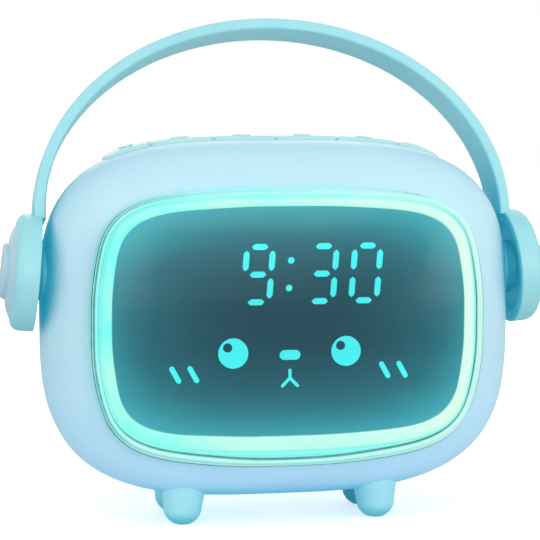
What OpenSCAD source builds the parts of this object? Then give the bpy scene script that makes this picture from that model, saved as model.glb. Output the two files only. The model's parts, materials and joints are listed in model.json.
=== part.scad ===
// Kids alarm clock with night light: rounded housing on four feet, a mirror
// display inside a glowing ring, six keys on the crown and a headband handle.
// Millimetres. X to the right, Y to the back, Z up. The origin lies on the
// table under the middle of the clock, left to right and front to back. Inside
// the modules, Y is measured from the housing's widest plane.

/* [Body] */
// Width of the housing
body_w = 145; // [138:1:158]
// Height of the housing
body_h = 109; // [104:1:120]
// Depth of the housing ahead of its widest plane
body_front = 25.5; // [24.5:0.5:30]
// Depth of the housing behind its widest plane
body_back = 25.5; // [25:0.5:28]
// How far the front edge rounds in from the side
front_round = 18.7; // [17:0.1:20]
// How far the back edge rounds in from the side
back_round = 24; // [22:0.5:25]
// Squareness of the upper half of the outline (2 is an ellipse)
top_square = 3.4; // [3:0.1:3.5]
// Squareness of the lower half of the outline
bottom_square = 3.2; // [2.9:0.1:3.5]
// Gap between the table and the underside of the housing
ground_gap = 7.7; // [6:0.1:10]
// Wall thickness of both shells
wall = 2.4; // [2:0.1:3]
// Where the rear cover meets the front shell, behind the widest plane
seam_y = 18; // [17.5:0.5:19]
// Play between pieces that are slipped into each other
slip = 0.1; // [0.05:0.01:0.15]

/* [Display] */
// Width of the clear bezel
bezel_w = 119.4; // [114:0.2:122]
// Height of the clear bezel
bezel_h = 83.2; // [80:0.2:86]
// How far the bezel's centre lies below the housing's centre
bezel_drop = 1; // [0:0.1:2]
// Squareness of the upper half of the bezel's outline
bezel_square = 4.1; // [3.3:0.05:4.2]
// Squareness of the lower half of the bezel's outline
bezel_square_low = 3.5; // [3.3:0.05:4.2]
// How much the display's sides run straight into its corners
display_flat = 0.02; // [0:0.005:0.03]
// Width of the clear bezel at the sides
bezel_side = 3; // [2.4:0.1:3.6]
// Width of the clear bezel at the top
bezel_top = 2.6; // [2.2:0.1:3.2]
// Width of the clear bezel at the bottom
bezel_bottom = 4.8; // [3.4:0.1:5]
// Width of the glowing band at the sides
glow_side = 3.4; // [3:0.1:4]
// Width of the glowing band at the top
glow_top = 2.7; // [2.4:0.1:3.4]
// Width of the glowing band at the bottom
glow_bottom = 4.7; // [4:0.1:5.2]
// Squareness of the lens outline
lens_square = 4.4; // [4:0.1:5]
// How far the bezel stands out of the front of the housing
bezel_proud = 2.6; // [2:0.1:4]
// Thickness of the mirror lens
lens_t = 1.6; // [1.2:0.1:2]
// Ledge of the light guide under the edge of the lens
lens_ledge = 2; // [1.6:0.1:2.4]
// Number of lamps in the night light
lamp_count = 26; // [16:2:36]

/* [Digits] */
// Height of a digit
digit_h = 18.2; // [16:0.1:19]
// Distance between the upright bars of a digit
digit_w = 7.85; // [7.5:0.05:8.5]
// Width of one light bar
bar_w = 1.75; // [1.4:0.05:1.9]
// Length of a level light bar
bar_across = 5; // [4.6:0.1:5.4]
// Length of an upright light bar
bar_along = 6.1; // [5.4:0.1:6.3]
// Distance from one digit to the next
digit_pitch = 13.5; // [12.5:0.1:14.5]
// Extra distance between hours and minutes, for the colon
colon_gap = 5.9; // [5:0.1:7]
// Slant of the digits, in degrees
digit_slant = 4.4; // [0:0.2:8]
// How far the digits' middle lies above the housing's centre
digit_rise = 15; // [13.5:0.1:15]
// Radius of an eye
eye_r = 4.5; // [3.8:0.1:4.8]
// Distance from the middle to the centre of an eye
eye_x = 17.2; // [15:0.1:20]
// How far the eyes lie below the housing's centre
eye_drop = 8.4; // [8:0.1:10]

/* [Keys] */
// Distance from one key to the next
key_pitch = 19.3; // [17:0.1:19.8]
// Width of the outermost keys
end_key_w = 13.9; // [12:0.1:14.4]
// Front edge of the keys, ahead of the widest plane
key_front = 4; // [3:0.1:6]
// Back edge of the keys, behind the widest plane
key_back = 9; // [8:0.1:9.4]
// How far the keys stand out of the crown
key_raise = 1.3; // [1:0.1:1.6]
// Gap round each key
key_gap = 0.3; // [0.25:0.05:0.4]
// Travel of a key
key_travel = 0.8; // [0.5:0.1:1]
// Height of the raised symbol on each key
key_mark = 0.4; // [0.2:0.1:0.6]
// Height of a switch with its plunger
switch_h = 4.7; // [4.3:0.1:5]

/* [Handle] */
// Height of the ear axis above the table
ear_z = 76.8; // [74:0.2:80]
// How far the ear axis lies ahead of the widest plane
ear_front = 4.3; // [3:0.1:6]
// Gap between the housing's widest point and an ear cup at its axis
ear_gap = 0.6; // [0.6:0.1:1.2]
// Diameter of an ear cup
cup_d = 35.4; // [33:0.1:37]
// Thickness of an ear cup
cup_t = 7.6; // [7.2:0.1:8]
// Outward splay of the ear cups' lower edges, in degrees
cup_splay = 5.2; // [3:0.1:5.5]
// Rounding of the cup's outer shoulder
cup_shoulder = 3; // [2:0.1:3.2]
// How far the headband's widest point lies outside the side of the housing
band_out = 1.8; // [1.7:0.1:2.6]
// Height of the headband's top above the ear axis
band_rise = 77.9; // [72:0.1:84]
// Height above the ear axis at which the headband is widest
band_wide_z = 17.3; // [15:0.1:19]
// Thickness of the headband
band_t = 3.5; // [3:0.1:3.6]
// Width of the headband, front to back
band_w = 15; // [12:0.1:18]
// How far the headband leans back at rest, in degrees
band_lean = 12.7; // [0:0.1:20]
// Diameter of the pivot hub
hub_d = 10; // [8:0.1:11]
// Play of the pivot hub in its bore, on the radius
hub_play = 0.05; // [0.02:0.01:0.1]

/* [Feet] */
// Distance from the middle to a foot
foot_x = 30.2; // [26:0.1:34]
// How far the front feet stand ahead of the widest plane
foot_front = 10.5; // [9:0.1:11]
// How far the rear feet stand behind the widest plane
foot_back = 8.5; // [8:0.1:9]
// Diameter of a foot where it meets the housing
foot_d = 14.5; // [13:0.1:15]
// Outward tilt of the feet, in degrees
foot_tilt = 3; // [0:0.5:8]

/* [Back] */
// Distance of a cover screw from the side of the housing
screw_in_x = 27.5; // [26.5:0.5:29.5]
// Distance of a cover screw from the top or the bottom of the housing
screw_in_z = 24.5; // [23.5:0.5:26]
// Diameter of the speaker
speaker_d = 28; // [24:1:32]
// Distance from the middle to the speaker
speaker_x = 27; // [25:0.5:29]
// Height of the charging socket below the housing's centre
socket_drop = 26; // [24:0.5:27]

/* [Hidden] */
$fn = 64;
ring_n = 64;
eps = 0.01;
half_w = body_w / 2;
half_h = body_h / 2;
mid_z = ground_gap + half_h;

// Display stack, front to back
bezel_y = -(body_front + bezel_proud);
glow_y = bezel_y + 0.2;
lens_y = glow_y + 0.2;
lamp_h = 1;
lamp_board_t = 1;
flange_t = 2.5;
flange_y = bezel_y + 7.1;
flange_back_y = flange_y + flange_t;
lamp_board_y = flange_y - lamp_board_t;
window_y = -(body_front - 1.2);
board_t = 1.6;
display_board_back_y = flange_back_y + board_t;
main_board_y = display_board_back_y + 7;

// Outlines of the display stack: [half width, half height, middle height]
bezel_z = mid_z - bezel_drop;
bezel_o = [bezel_w / 2, bezel_h / 2, bezel_z];
glow_o = inner_outline(bezel_o, bezel_side, bezel_top, bezel_bottom);
lens_o = inner_outline(glow_o, glow_side, glow_top, glow_bottom);
hole_o = inner_outline(lens_o, lens_ledge, lens_ledge, lens_ledge);
flange_o = inner_outline(hole_o, 1, 1, 1);

// Squareness of the outlines of the display stack: [upper half, lower half]
bezel_n = [bezel_square, bezel_square_low];
lens_n = [lens_square, lens_square];
glow_n = (bezel_n + lens_n) / 2;
groove_w = 2.2;
lamp_w = 2;
lamp_d = 1.4;
lamp_spread = 0.55;
groove_wall = 1.4;

// Digits and face, seen through the lens
digit_z = mid_z + digit_rise;
bar_up = digit_h / 2 - bar_w / 2;
face_z = mid_z - eye_drop;
box_o = inner_outline(flange_o, 0.3, 0.3, 0.3);
pocket_play = 0.08;
LIT = [[], [0, 1, 2, 3, 5, 6], [0, 1, 2, 3, 6], [0, 1, 2, 3, 4, 5]];

// Boards behind the display
display_board_w = 2 * hole_o[0] + 1.4;
display_board_h = 2 * hole_o[1] - 14.3;
board_screw_inset = 2.4;
board_screw_drop = 1.5;
main_board_w = display_board_w - 28;
main_board_h = display_board_h - 6;
standoff_x = main_board_w / 2 - 8;
standoff_dz = main_board_h / 2 - 8;
standoff_r = 2;
plug = [8, 5, 5.5];
plug_inset = 8;
can_r = 2.5;
can_h = 6;
chip_t = 1.6;
screw_r = 0.9;
board_screw_grip = 1.8;
power_screw_grip = 3.6;
key_screw_grip = 5;
screw_head_r = 1.7;
screw_head_t = 1.2;

// Keys
key_count = 6;
key_row_half = (key_count / 2 - 1) * key_pitch + end_key_w;
key_lip = 1.2;
key_lip_t = 1;
key_lip_play = 0.35;
key_lip_in = inner_inset(key_back + key_lip) + key_lip_play;
key_board_z = mid_z + half_h - wall - 14.2;
key_post_r = 2.6;
key_post_x = 1.5 * key_pitch;
key_post_out = key_lip + key_post_r + 0.4;
switch_w = 6;
plunger_r = 1.7;
stem_w = 4;

// Pivots
ear_y = -ear_front;
band_half_w = half_w + band_out;
band_span = 183.4;
hub_x = half_w + ear_gap;
hub_r = hub_d / 2;
boss_r = hub_r + 3.5;
boss_out_x = hub_x - 0.2;
boss_in_x = half_w - 10.5;
hub_in_x = boss_in_x - 0.2;
cup_r = cup_d / 2;
cup_wall = 3.1;
dish_depth = 2.5;
cup_floor = 2.7;
cap_r = cup_r - cup_wall - slip;
cap_seat = dish_depth + cup_floor;
cap_step_r = 8.5;
cap_step_z = 9.4;
cap_top = 11.4;
friction_t = 1.8;
pivot_screw_r = 1.5;
pivot_washer_r = hub_r + 2.5;
pivot_washer_t = 0.8;

// Feet
foot_r = foot_d / 2;
foot_knee_z = 5;
foot_knee_r = foot_r - 1.25;
foot_under = 0.5;
stem_r = 2.6;
stem_top = 17;
foot_boss_r = 4.4;
foot_boss_z = ground_gap + 3.9;

// Back
screw_x = half_w - screw_in_x;
screw_dz = half_h - screw_in_z;
post_r = 3.6;
column_r = 4.6;
post_end_y = seam_y - 5.8;
cover_screw_r = 1.2;
cover_head_r = 2.7;
cover_head_t = 2;
cover_head_y = body_back - 6;
column_end_y = body_back - wall - 0.6;
speaker_t = 5;
speaker_rim = 1.2;
grille_t = wall;
battery = [44, 6, 34];
battery_x = speaker_x - speaker_d / 2 - battery[0] / 2 - 10;
battery_rise = 4;
power_board = [18, board_t, 15];
socket_w = 8.94;
socket_h = 3.26;
socket_recess = 0.4;
socket_z = mid_z - socket_drop;
socket_len = 8.2;
power_board_y = body_back - socket_recess - socket_len - board_t;
power_post_x = 7;

// ---------------------------------------------------------------- outlines

// Signed power, for superellipses
function spow(v, e) = sign(v) * pow(abs(v), e);

// Point at angle t of a superellipse with half sizes a and b
function squircle(a, b, nt, nb, t) =
  let (e = 2 / (sin(t) >= 0 ? nt : nb)) [a * spow(cos(t), e), b * spow(sin(t), e)];

// Share of its reach that an outline o of the display stack keeps in the direction of p
function flat_share(o, p) =
  let (a = atan2(p[1] / o[1], p[0] / o[0])) 1 - display_flat * pow(sin(4 * a) * sin(2 * a), 2);

// Point at angle t of an outline of the display stack
function display_point(o, n, t) =
  let (p = squircle(o[0], o[1], n[0], n[1], t)) flat_share(o, p) * p;

// One outline of the display stack, moved in from another
function inner_outline(o, side, top, bottom) =
  [o[0] - side, o[1] - (top + bottom) / 2, o[2] + (bottom - top) / 2];

// Inset of the outer skin at depth y
function skin_inset(y) =
  let (f = -y - (body_front - front_round), b = y - (body_back - back_round))
  f > 0 ? front_round - sqrt(pow(front_round, 2) - f * f)
  : b > 0 ? back_round - sqrt(pow(back_round, 2) - b * b)
  : 0;

// Inset of the inner skin at depth y
function inner_inset(y) =
  let (f = -y - (body_front - front_round), b = y - (body_back - back_round), rf = front_round - wall,
       rb = back_round - wall)
  f > 0 ? front_round - sqrt(rf * rf - f * f) : b > 0 ? back_round - sqrt(rb * rb - b * b) : wall;

// Height of the crown at x, for a skin moved in by inset
function crown_z(x, inset) =
  mid_z + (half_h - inset) * pow(1 - pow(abs(x) / (half_w - inset), top_square), 1 / top_square);

// Ring of points round the housing at depth y, moved in by inset
function body_ring(y, inset) = [for (k = [0:ring_n - 1])
  let (p = squircle(half_w - inset, half_h - inset, top_square, bottom_square, 360 * k / ring_n))
  [p[0], y, mid_z + p[1]]];

// Ring of points of a display outline at depth y
function display_ring(y, o, n) = [for (k = [0:ring_n - 1])
  let (p = display_point(o, n, 360 * k / ring_n)) [p[0], y, o[2] + p[1]]];

// Rings of the rounded front, from angle a0 to a1, for a skin moved in by w
function front_rings(w, a0, a1, steps) = [for (k = [0:steps])
  let (a = a0 + (a1 - a0) * k / steps, r = front_round - w)
  body_ring(-(body_front - front_round) - r * sin(a), w + r * (1 - cos(a)))];

// Rings of the rounded back
function back_rings(w, a0, a1, steps) = [for (k = [0:steps])
  let (a = a0 + (a1 - a0) * k / steps, r = back_round - w)
  body_ring(body_back - back_round + r * sin(a), w + r * (1 - cos(a)))];

// Angle on the rounded back at which its skin, moved in by w, reaches depth y
function back_angle(w, y) = asin((y - (body_back - back_round)) / (back_round - w));
function front_angle(w, y) = asin((-y - (body_front - front_round)) / (front_round - w));

// Side faces between successive rings; each quad is split into two triangles
function strip_faces(count, closed) = [
  for (i = [0:count - (closed ? 1 : 2)], k = [0:ring_n - 1])
  let (j = (i + 1) % count, m = (k + 1) % ring_n,
       a = i * ring_n + k, b = i * ring_n + m, c = j * ring_n + m, d = j * ring_n + k)
  each [[a, b, c], [a, c, d]]];

function flat(rings) = [for (r = rings) each r];

// Solid between rings that form a closed loop in section, like a hoop
module hoop(rings) {
  polyhedron(flat(rings), strip_faces(len(rings), true), convexity = 8);
}

// Solid between rings with a flat face at both ends
module barrel(rings) {
  last = (len(rings) - 1) * ring_n;
  polyhedron(
    flat(rings),
    concat(
      strip_faces(len(rings), false),
      [[for (k = [ring_n - 1:-1:0]) k]],
      [[for (k = [0:ring_n - 1]) last + k]]
    ),
    convexity = 8
  );
}

// Flat outline of the display stack
module outline(o, n) {
  translate([0, o[2]])
    polygon([for (k = [0:ring_n - 1]) display_point(o, n, 360 * k / ring_n)]);
}

// Extrudes an XZ drawing from depth y0 back to depth y1
module slab(y0, y1) {
  translate([0, y1, 0]) rotate([90, 0, 0]) linear_extrude(y1 - y0) children();
}

// Cylinders along Y and X
module rod_y(r, y0, y1) {
  translate([0, y0, 0]) rotate([-90, 0, 0]) cylinder(r = r, h = y1 - y0);
}
module rod_x(r, x0, x1) {
  translate([x0, 0, 0]) rotate([0, 90, 0]) cylinder(r = r, h = x1 - x0);
}

// Places children at both ears, mirrored
module at_ears() {
  for (side = [0, 1]) mirror([side, 0, 0]) translate([0, ear_y, ear_z]) children();
}

// Places children at the four cover screws
module at_cover_screws() {
  for (sx = [-1, 1], sz = [-1, 1])
    translate([sx * screw_x, 0, mid_z + sz * screw_dz]) children();
}

// Places children at the four screws of the display board
module at_board_screws() {
  for (sx = [-1, 1], sz = [-1, 1])
    translate([
      sx * (display_board_w / 2 - board_screw_inset), 0,
      lens_o[2] + sz * (display_board_h / 2 - board_screw_inset - board_screw_drop)
    ]) children();
}

// Places children at the four screws of the key board
module at_key_posts() {
  for (sx = [-1, 1], y = [-(key_front + key_post_out), key_back + key_post_out])
    translate([sx * key_post_x, y, 0]) children();
}

// Places children in the frame of a foot: tilted, pivoting where it meets the housing
module at_foot(sx, y) {
  translate([sx * foot_x, y, ground_gap]) rotate([0, -sx * foot_tilt, 0])
    translate([0, 0, -ground_gap]) children();
}
module at_feet() {
  for (sx = [-1, 1], y = [-foot_front, foot_back]) at_foot(sx, y) children();
}

// ---------------------------------------------------------------- housing

// Whole outer skin of the housing, grown by play
module body_skin(play) {
  barrel(concat(
    front_rings(-play, 64, 8, 7),
    [body_ring(-(body_front - front_round), -play)],
    back_rings(-play, 0, back_angle(0, seam_y), 4)
  ));
}

module front_shell() {
  window_o = inner_outline(bezel_o, -slip, -slip, -slip);
  seam_in = skin_inset(seam_y);
  lip_in = seam_in + wall / 2;
  lip_y = seam_y - 2.2;
  color("#C2E7F7") difference() {
    union() {
      hoop(concat(
        [display_ring(window_y, window_o, bezel_n)],
        front_rings(0, 64, 0, 8),
        back_rings(0, 0, back_angle(0, seam_y), 4),
        [body_ring(seam_y, lip_in), body_ring(lip_y, lip_in)],
        back_rings(wall, back_angle(wall, lip_y - 1), 0, 3),
        front_rings(wall, 0, front_angle(wall, flange_back_y), 3),
        [
          display_ring(flange_back_y, flange_o, lens_n),
          display_ring(flange_y, flange_o, lens_n),
          display_ring(flange_y, window_o, bezel_n)
        ]
      ));
      at_ears() rod_x(boss_r, boss_in_x, boss_out_x);
      at_cover_screws() rod_y(post_r, flange_back_y - eps, post_end_y);
      at_feet() translate([0, 0, foot_boss_z]) cylinder(r = foot_boss_r, h = stem_top - foot_boss_z);
      key_posts();
    }
    at_ears() rod_x(hub_r + hub_play, boss_in_x - eps, boss_out_x + eps);
    at_cover_screws() rod_y(cover_screw_r, post_end_y - 12, post_end_y + eps);
    at_board_screws() rod_y(screw_r, flange_back_y - 2, flange_back_y + eps);
    at_feet() cylinder(r = stem_r + slip / 2, h = stem_top + eps);
    at_key_posts() translate([0, 0, key_board_z - eps]) cylinder(r = screw_r, h = 6);
    key_slot();
  }
}

// Posts that hang from the crown and carry the key board
module key_posts() {
  for (sx = [-1, 1], y = [-(key_front + key_post_out), key_back + key_post_out]) {
    far_y = y + sign(y) * key_post_r;
    top_z = crown_z(key_post_x + key_post_r, skin_inset(far_y)) - wall / 4;
    translate([sx * key_post_x, y, key_board_z]) cylinder(r = key_post_r, h = top_z - key_board_z);
  }
}

// Opening in the crown for the row of keys
module key_slot() {
  translate([-key_row_half, -key_front - key_gap, key_board_z + 2])
    cube([2 * key_row_half, key_front + key_back + 2 * key_gap, 40]);
}

module rear_cover() {
  seam_in = skin_inset(seam_y);
  tongue_in = seam_in + wall / 2 + slip;
  tongue_y = seam_y - 2;
  inner_in = wall + (back_round - wall) * (1 - cos(back_angle(wall, seam_y)));
  color("#C2E7F7") difference() {
    union() {
      barrel(concat(
        back_rings(wall, 90, back_angle(wall, seam_y), 4),
        [
          body_ring(tongue_y, inner_in - 0.1), body_ring(tongue_y, tongue_in),
          body_ring(seam_y, tongue_in)
        ],
        back_rings(0, back_angle(0, seam_y), 90, 4)
      ));
      at_cover_screws() rod_y(column_r, post_end_y + slip, column_end_y);
      for (sx = [-1, 1]) translate([sx * power_post_x, 0, socket_z])
        rod_y(2, power_board_y + board_t, body_back - wall / 2);
    }
    at_cover_screws() {
      rod_y(cover_screw_r + 0.3, post_end_y, body_back);
      rod_y(cover_head_r + 0.3, cover_head_y, body_back + 1);
    }
    translate([speaker_x, 0, mid_z]) rod_y(speaker_d / 2 - 1, body_back - wall - 1, body_back + 1);
    for (sx = [-1, 1]) translate([sx * power_post_x, 0, socket_z])
      rod_y(screw_r, power_board_y + board_t - eps, power_board_y + board_t + 4);
    slab(body_back - wall - 1, body_back + 1) socket_outline(0.2);
  }
}

// Oval outline of the charging socket
module socket_outline(play) {
  r = socket_h / 2 + play;
  translate([0, socket_z]) {
    square([socket_w - socket_h, 2 * r], center = true);
    for (sx = [-1, 1]) translate([sx * (socket_w - socket_h) / 2, 0]) circle(r = r);
  }
}

module cover_screws() {
  color("#9AA0A6") at_cover_screws() difference() {
    union() {
      rod_y(cover_screw_r, post_end_y - 11, cover_head_y + eps);
      rod_y(cover_head_r, cover_head_y, cover_head_y + cover_head_t);
    }
    for (a = [0, 90]) rotate([0, a, 0])
      translate([-1.5, cover_head_y + cover_head_t - 1, -0.3]) cube([3, 2, 0.6]);
  }
}

// ---------------------------------------------------------------- display

module bezel_ring() {
  color("#DDF6F7") slab(bezel_y, lamp_board_y) difference() {
    outline(bezel_o, bezel_n);
    outline(inner_outline(glow_o, -slip, -slip, -slip), glow_n);
  }
}

// Frosted light guide with a ledge for the lens and a groove for the lamps
module glow_ring() {
  lamp_top = lamp_board_y - lamp_h - 0.2;
  lens_hole_o = inner_outline(lens_o, -slip, -slip, -slip);
  color("#B8FBEF") {
    slab(glow_y, lens_y + lens_t) difference() {
      outline(glow_o, glow_n);
      outline(lens_hole_o, lens_n);
    }
    slab(lens_y + lens_t, lamp_top) difference() {
      outline(glow_o, glow_n);
      outline(hole_o, lens_n);
    }
    slab(lamp_top, lamp_board_y) difference() {
      outline(glow_o, glow_n);
      outline(inner_outline(glow_o, groove_wall, groove_wall, groove_wall), glow_n);
    }
    slab(lamp_top, lamp_board_y) difference() {
      outline(lamp_path(-groove_w / 2), glow_n);
      outline(hole_o, lens_n);
    }
  }
}

// Outline along which the lamps sit, moved out by grow
function lamp_path(grow) =
  inner_outline(glow_o, groove_wall + groove_w / 2 - grow,
    groove_wall + groove_w / 2 - grow, groove_wall + groove_w / 2 - grow);

module lens_panel() {
  color("#33606D") slab(lens_y, lens_y + lens_t) outline(lens_o, lens_n);
}

// One light bar, pointed at both ends
module bar(length) {
  h = bar_w / 2;
  polygon([
    [-length / 2, 0], [-length / 2 + h, h], [length / 2 - h, h],
    [length / 2, 0], [length / 2 - h, -h], [-length / 2 + h, -h]
  ]);
}

// Bar number s of a digit: 0 top, then clockwise to 5, and 6 the middle
module digit_bar(s) {
  side = (s == 1 || s == 2) ? 1 : -1;
  level = (s == 1 || s == 5) ? 1 : -1;
  if (s == 0 || s == 3 || s == 6)
    translate([0, s == 0 ? bar_up : s == 3 ? -bar_up : 0]) bar(bar_across);
  else
    translate([side * digit_w / 2, level * bar_up / 2]) rotate(90) bar(bar_along);
}

// Middle of digit d, counted from the left
function digit_x(d) = (d - 1.5) * digit_pitch + (d < 2 ? -1 : 1) * colon_gap / 2;

// Leans its children like the digits
module slanted() {
  multmatrix([[1, tan(digit_slant), 0, 0], [0, 1, 0, 0], [0, 0, 1, 0], [0, 0, 0, 1]]) children();
}

// The bars of all digits that are lit, or those that are dark
module digit_bars(lit) {
  translate([0, digit_z]) slanted() {
    for (d = [0:3], s = [0:6])
      if ((len(search(s, LIT[d])) > 0) == lit) translate([digit_x(d), 0]) digit_bar(s);
    if (lit) for (sz = [-1, 1]) translate([0, sz * bar_up / 2]) circle(r = bar_w * 0.55, $fn = 24);
  }
}

// Round-ended stroke from a to b
module stroke(a, b, w) {
  d = b - a;
  translate(a) rotate(atan2(d[1], d[0])) {
    translate([0, -w / 2]) square([norm(d), w]);
    for (x = [0, norm(d)]) translate([x, 0]) circle(r = w / 2, $fn = 24);
  }
}

// Friendly face: round eyes with a glint, an oval nose, a snout mouth and cheek strokes
module face_drawing() {
  glint_r = eye_r * 0.32;
  glint_off = eye_r * 0.38;
  nose_half_w = 1.7;
  nose_h = 2.9;
  nose_z = face_z - 0.8;
  mouth_w = 0.9;
  mouth_top = [0, face_z - 5.4];
  mouth_fork = [0, face_z - 7.7];
  mouth_end = [2.3, face_z - 10.1];
  cheek_x = eye_x + 12;
  cheek_gap = 5.4;
  cheek_lean = 1;
  cheek_top = face_z - 4.2;
  cheek_end = face_z - 7.8;
  cheek_w = 1.5;
  for (sx = [-1, 1]) {
    translate([sx * eye_x, face_z]) difference() {
      circle(r = eye_r);
      translate([-glint_off, glint_off]) circle(r = glint_r, $fn = 24);
    }
    for (x = [cheek_x, cheek_x + cheek_gap])
      stroke([sx * x - cheek_lean, cheek_top], [sx * x + cheek_lean, cheek_end], cheek_w);
  }
  stroke([-nose_half_w, nose_z], [nose_half_w, nose_z], nose_h);
  stroke(mouth_top, mouth_fork, mouth_w);
  for (sx = [-1, 1]) stroke(mouth_fork, [sx * mouth_end[0], mouth_end[1]], mouth_w);
}

module light_bars_lit() {
  color("#4CF0EB") slab(lens_y + lens_t, flange_back_y) digit_bars(true);
}

module light_bars_off() {
  color("#5B7C84") slab(lens_y + lens_t, flange_back_y) digit_bars(false);
}

module face_icons() {
  color("#54F0ED") slab(lens_y + lens_t, flange_back_y) face_drawing();
}

// Dark mask behind the lens that keeps the light of each bar apart
module light_box() {
  color("#1E2A2E") slab(lens_y + lens_t, flange_back_y) difference() {
    outline(box_o, lens_n);
    offset(delta = pocket_play) {
      digit_bars(true);
      digit_bars(false);
      face_drawing();
    }
  }
}

module display_board() {
  color("#1F6B4A") difference() {
    slab(flange_back_y, display_board_back_y) translate([0, lens_o[2]])
      square([display_board_w, display_board_h], center = true);
    at_board_screws() rod_y(screw_r + 0.15, flange_back_y - 1, display_board_back_y + 1);
  }
}

module night_light_board() {
  color("#E9EDEA") slab(lamp_board_y, flange_y) difference() {
    outline(inner_outline(bezel_o, 0.3, 0.3, 0.3), bezel_n);
    outline(hole_o, lens_n);
  }
}

module night_light_lamps() {
  path = lamp_path(0);
  color("#F4FFE8") for (k = [0:lamp_count - 1]) {
    t = 360 * (k + 0.5) / lamp_count;
    p = [path[0] * spow(cos(t), lamp_spread), path[1] * spow(sin(t), lamp_spread)];
    q = lamp_spot(path, p);
    translate([q[0], lamp_board_y, path[2] + q[1]]) rotate([0, -lamp_turn(path, q), 0])
      translate([-lamp_w / 2, -lamp_h, -lamp_d / 2]) cube([lamp_w, lamp_h, lamp_d]);
  }
}

// The point of the lamp path in the direction of p, and the path's bearing there
function lamp_spot(o, p) =
  let (n = glow_n[p[1] >= 0 ? 0 : 1], s = pow(pow(abs(p[0]) / o[0], n) + pow(abs(p[1]) / o[1], n), -1 / n))
    flat_share(o, p) * s * p;
function lamp_turn(o, q) =
  let (n = glow_n[q[1] >= 0 ? 0 : 1]) atan2(
    spow(q[1] / o[1], n - 1) / o[1], spow(q[0] / o[0], n - 1) / o[0]) + 90;

// Pan-head screw along Y, driven from the back, head seated at depth y
module board_screw(y, length) {
  rod_y(screw_r, y - length, y + eps);
  rod_y(screw_head_r, y, y + screw_head_t);
}

module board_screws() {
  color("#A9AFB5") {
    at_board_screws() board_screw(display_board_back_y, board_t + board_screw_grip);
    for (sx = [-1, 1]) translate([sx * power_post_x, 0, socket_z]) mirror([0, 1, 0])
      board_screw(-power_board_y, board_t + power_screw_grip);
    at_key_posts() translate([0, 0, key_board_z - board_t]) rotate([-90, 0, 0])
      board_screw(0, board_t + key_screw_grip);
  }
}

module at_standoffs() {
  for (sx = [-1, 1], sz = [-1, 1])
    translate([sx * standoff_x, 0, mid_z + sz * standoff_dz]) children();
}

module standoffs() {
  color("#D8D2B8") at_standoffs() rod_y(standoff_r, display_board_back_y, main_board_y);
}

module main_board() {
  color("#1F6B4A") translate([-main_board_w / 2, main_board_y, mid_z - main_board_h / 2])
    cube([main_board_w, board_t, main_board_h]);
}

// Chips, sockets and capacitors on the back of the main board
module board_parts() {
  y = main_board_y + board_t;
  chip_w = main_board_w / 6;
  color("#26292C") {
    translate([-chip_w / 2, y, mid_z - chip_w / 2]) cube([chip_w, chip_t, chip_w]);
    translate([-2 * chip_w, y, mid_z - chip_w]) cube([chip_w / 2, chip_t * 0.9, chip_w / 2]);
    translate([1.5 * chip_w, y, mid_z + chip_w / 2]) cube([chip_w * 2 / 3, chip_t, chip_w / 2]);
    for (x = [-2.5, -1.5, 1.8] * chip_w) translate([x, y, mid_z + main_board_h / 2 - plug_inset]) cube(plug);
    for (x = [1, 1.7] * chip_w) translate([x, 0, mid_z - chip_w]) rod_y(can_r, y, y + can_h);
  }
}

// ---------------------------------------------------------------- keys

module key_board() {
  w = 2 * (key_row_half - 1);
  rim = key_post_r - 0.1;
  y0 = -(key_front + key_post_out + rim);
  y1 = key_back + key_post_out + rim;
  color("#1F6B4A") difference() {
    translate([-w / 2, y0, key_board_z - board_t]) cube([w, y1 - y0, board_t]);
    at_key_posts() translate([0, 0, key_board_z - board_t - 1])
      cylinder(r = screw_r + 0.15, h = board_t + 2);
  }
}

module key_switches() {
  color("#3A3F44") for (k = [0:key_count - 1]) translate([key_mid_x(k), key_mid_y(), key_board_z]) {
    translate([-switch_w / 2, -switch_w / 2, 0]) cube([switch_w, switch_w, switch_h - 1.2]);
    cylinder(r = plunger_r, h = switch_h);
  }
}

// Edge k of the row of keys, counted from the left, and the middle of key k
function key_edge(k) =
  k == 0 ? -key_row_half : k == key_count ? key_row_half : (k - key_count / 2) * key_pitch;
function key_mid_x(k) = (key_edge(k) + key_edge(k + 1)) / 2;
function key_mid_y() = (key_back - key_front) / 2;

// Strip of the crown between x0 and x1, from inset i_out down to inset i_in
module crown_strip(x0, x1, i_out, i_in) {
  steps = 6;
  polygon(concat(
    [for (k = [0:steps]) let (x = x0 + (x1 - x0) * k / steps) [x, crown_z(x, i_out)]],
    [for (k = [steps:-1:0]) let (x = x0 + (x1 - x0) * k / steps) [x, crown_z(x, i_in)]]
  ));
}

// Key number k, counted from the left: cap, retaining lip, stem and raised symbol
module key(k) {
  xc = key_mid_x(k);
  x0 = key_edge(k) + key_gap;
  x1 = key_edge(k + 1) - key_gap;
  lip_in = key_lip_in;
  stem_z = key_board_z + switch_h + key_travel + 0.1;
  mark = 3;
  color("#B0E4E9") {
    slab(-key_front, key_back) crown_strip(x0, x1, -key_raise, lip_in + key_lip_t);
    slab(-key_front - key_lip, key_back + key_lip) crown_strip(x0, x1, lip_in, lip_in + key_lip_t);
    slab(key_mid_y() - mark, key_mid_y() + mark)
      crown_strip(xc - mark, xc + mark, -key_raise - key_mark, 0);
    translate([xc - stem_w / 2, key_mid_y() - stem_w / 2, stem_z])
      cube([stem_w, stem_w, crown_z(xc, lip_in) - stem_z]);
  }
}

// ---------------------------------------------------------------- back

module battery_pack() {
  color("#8C9BB0") translate([
    battery_x - battery[0] / 2, body_back - wall - battery[1], mid_z - battery[2] / 2 + battery_rise
  ]) cube(battery);
}

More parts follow.
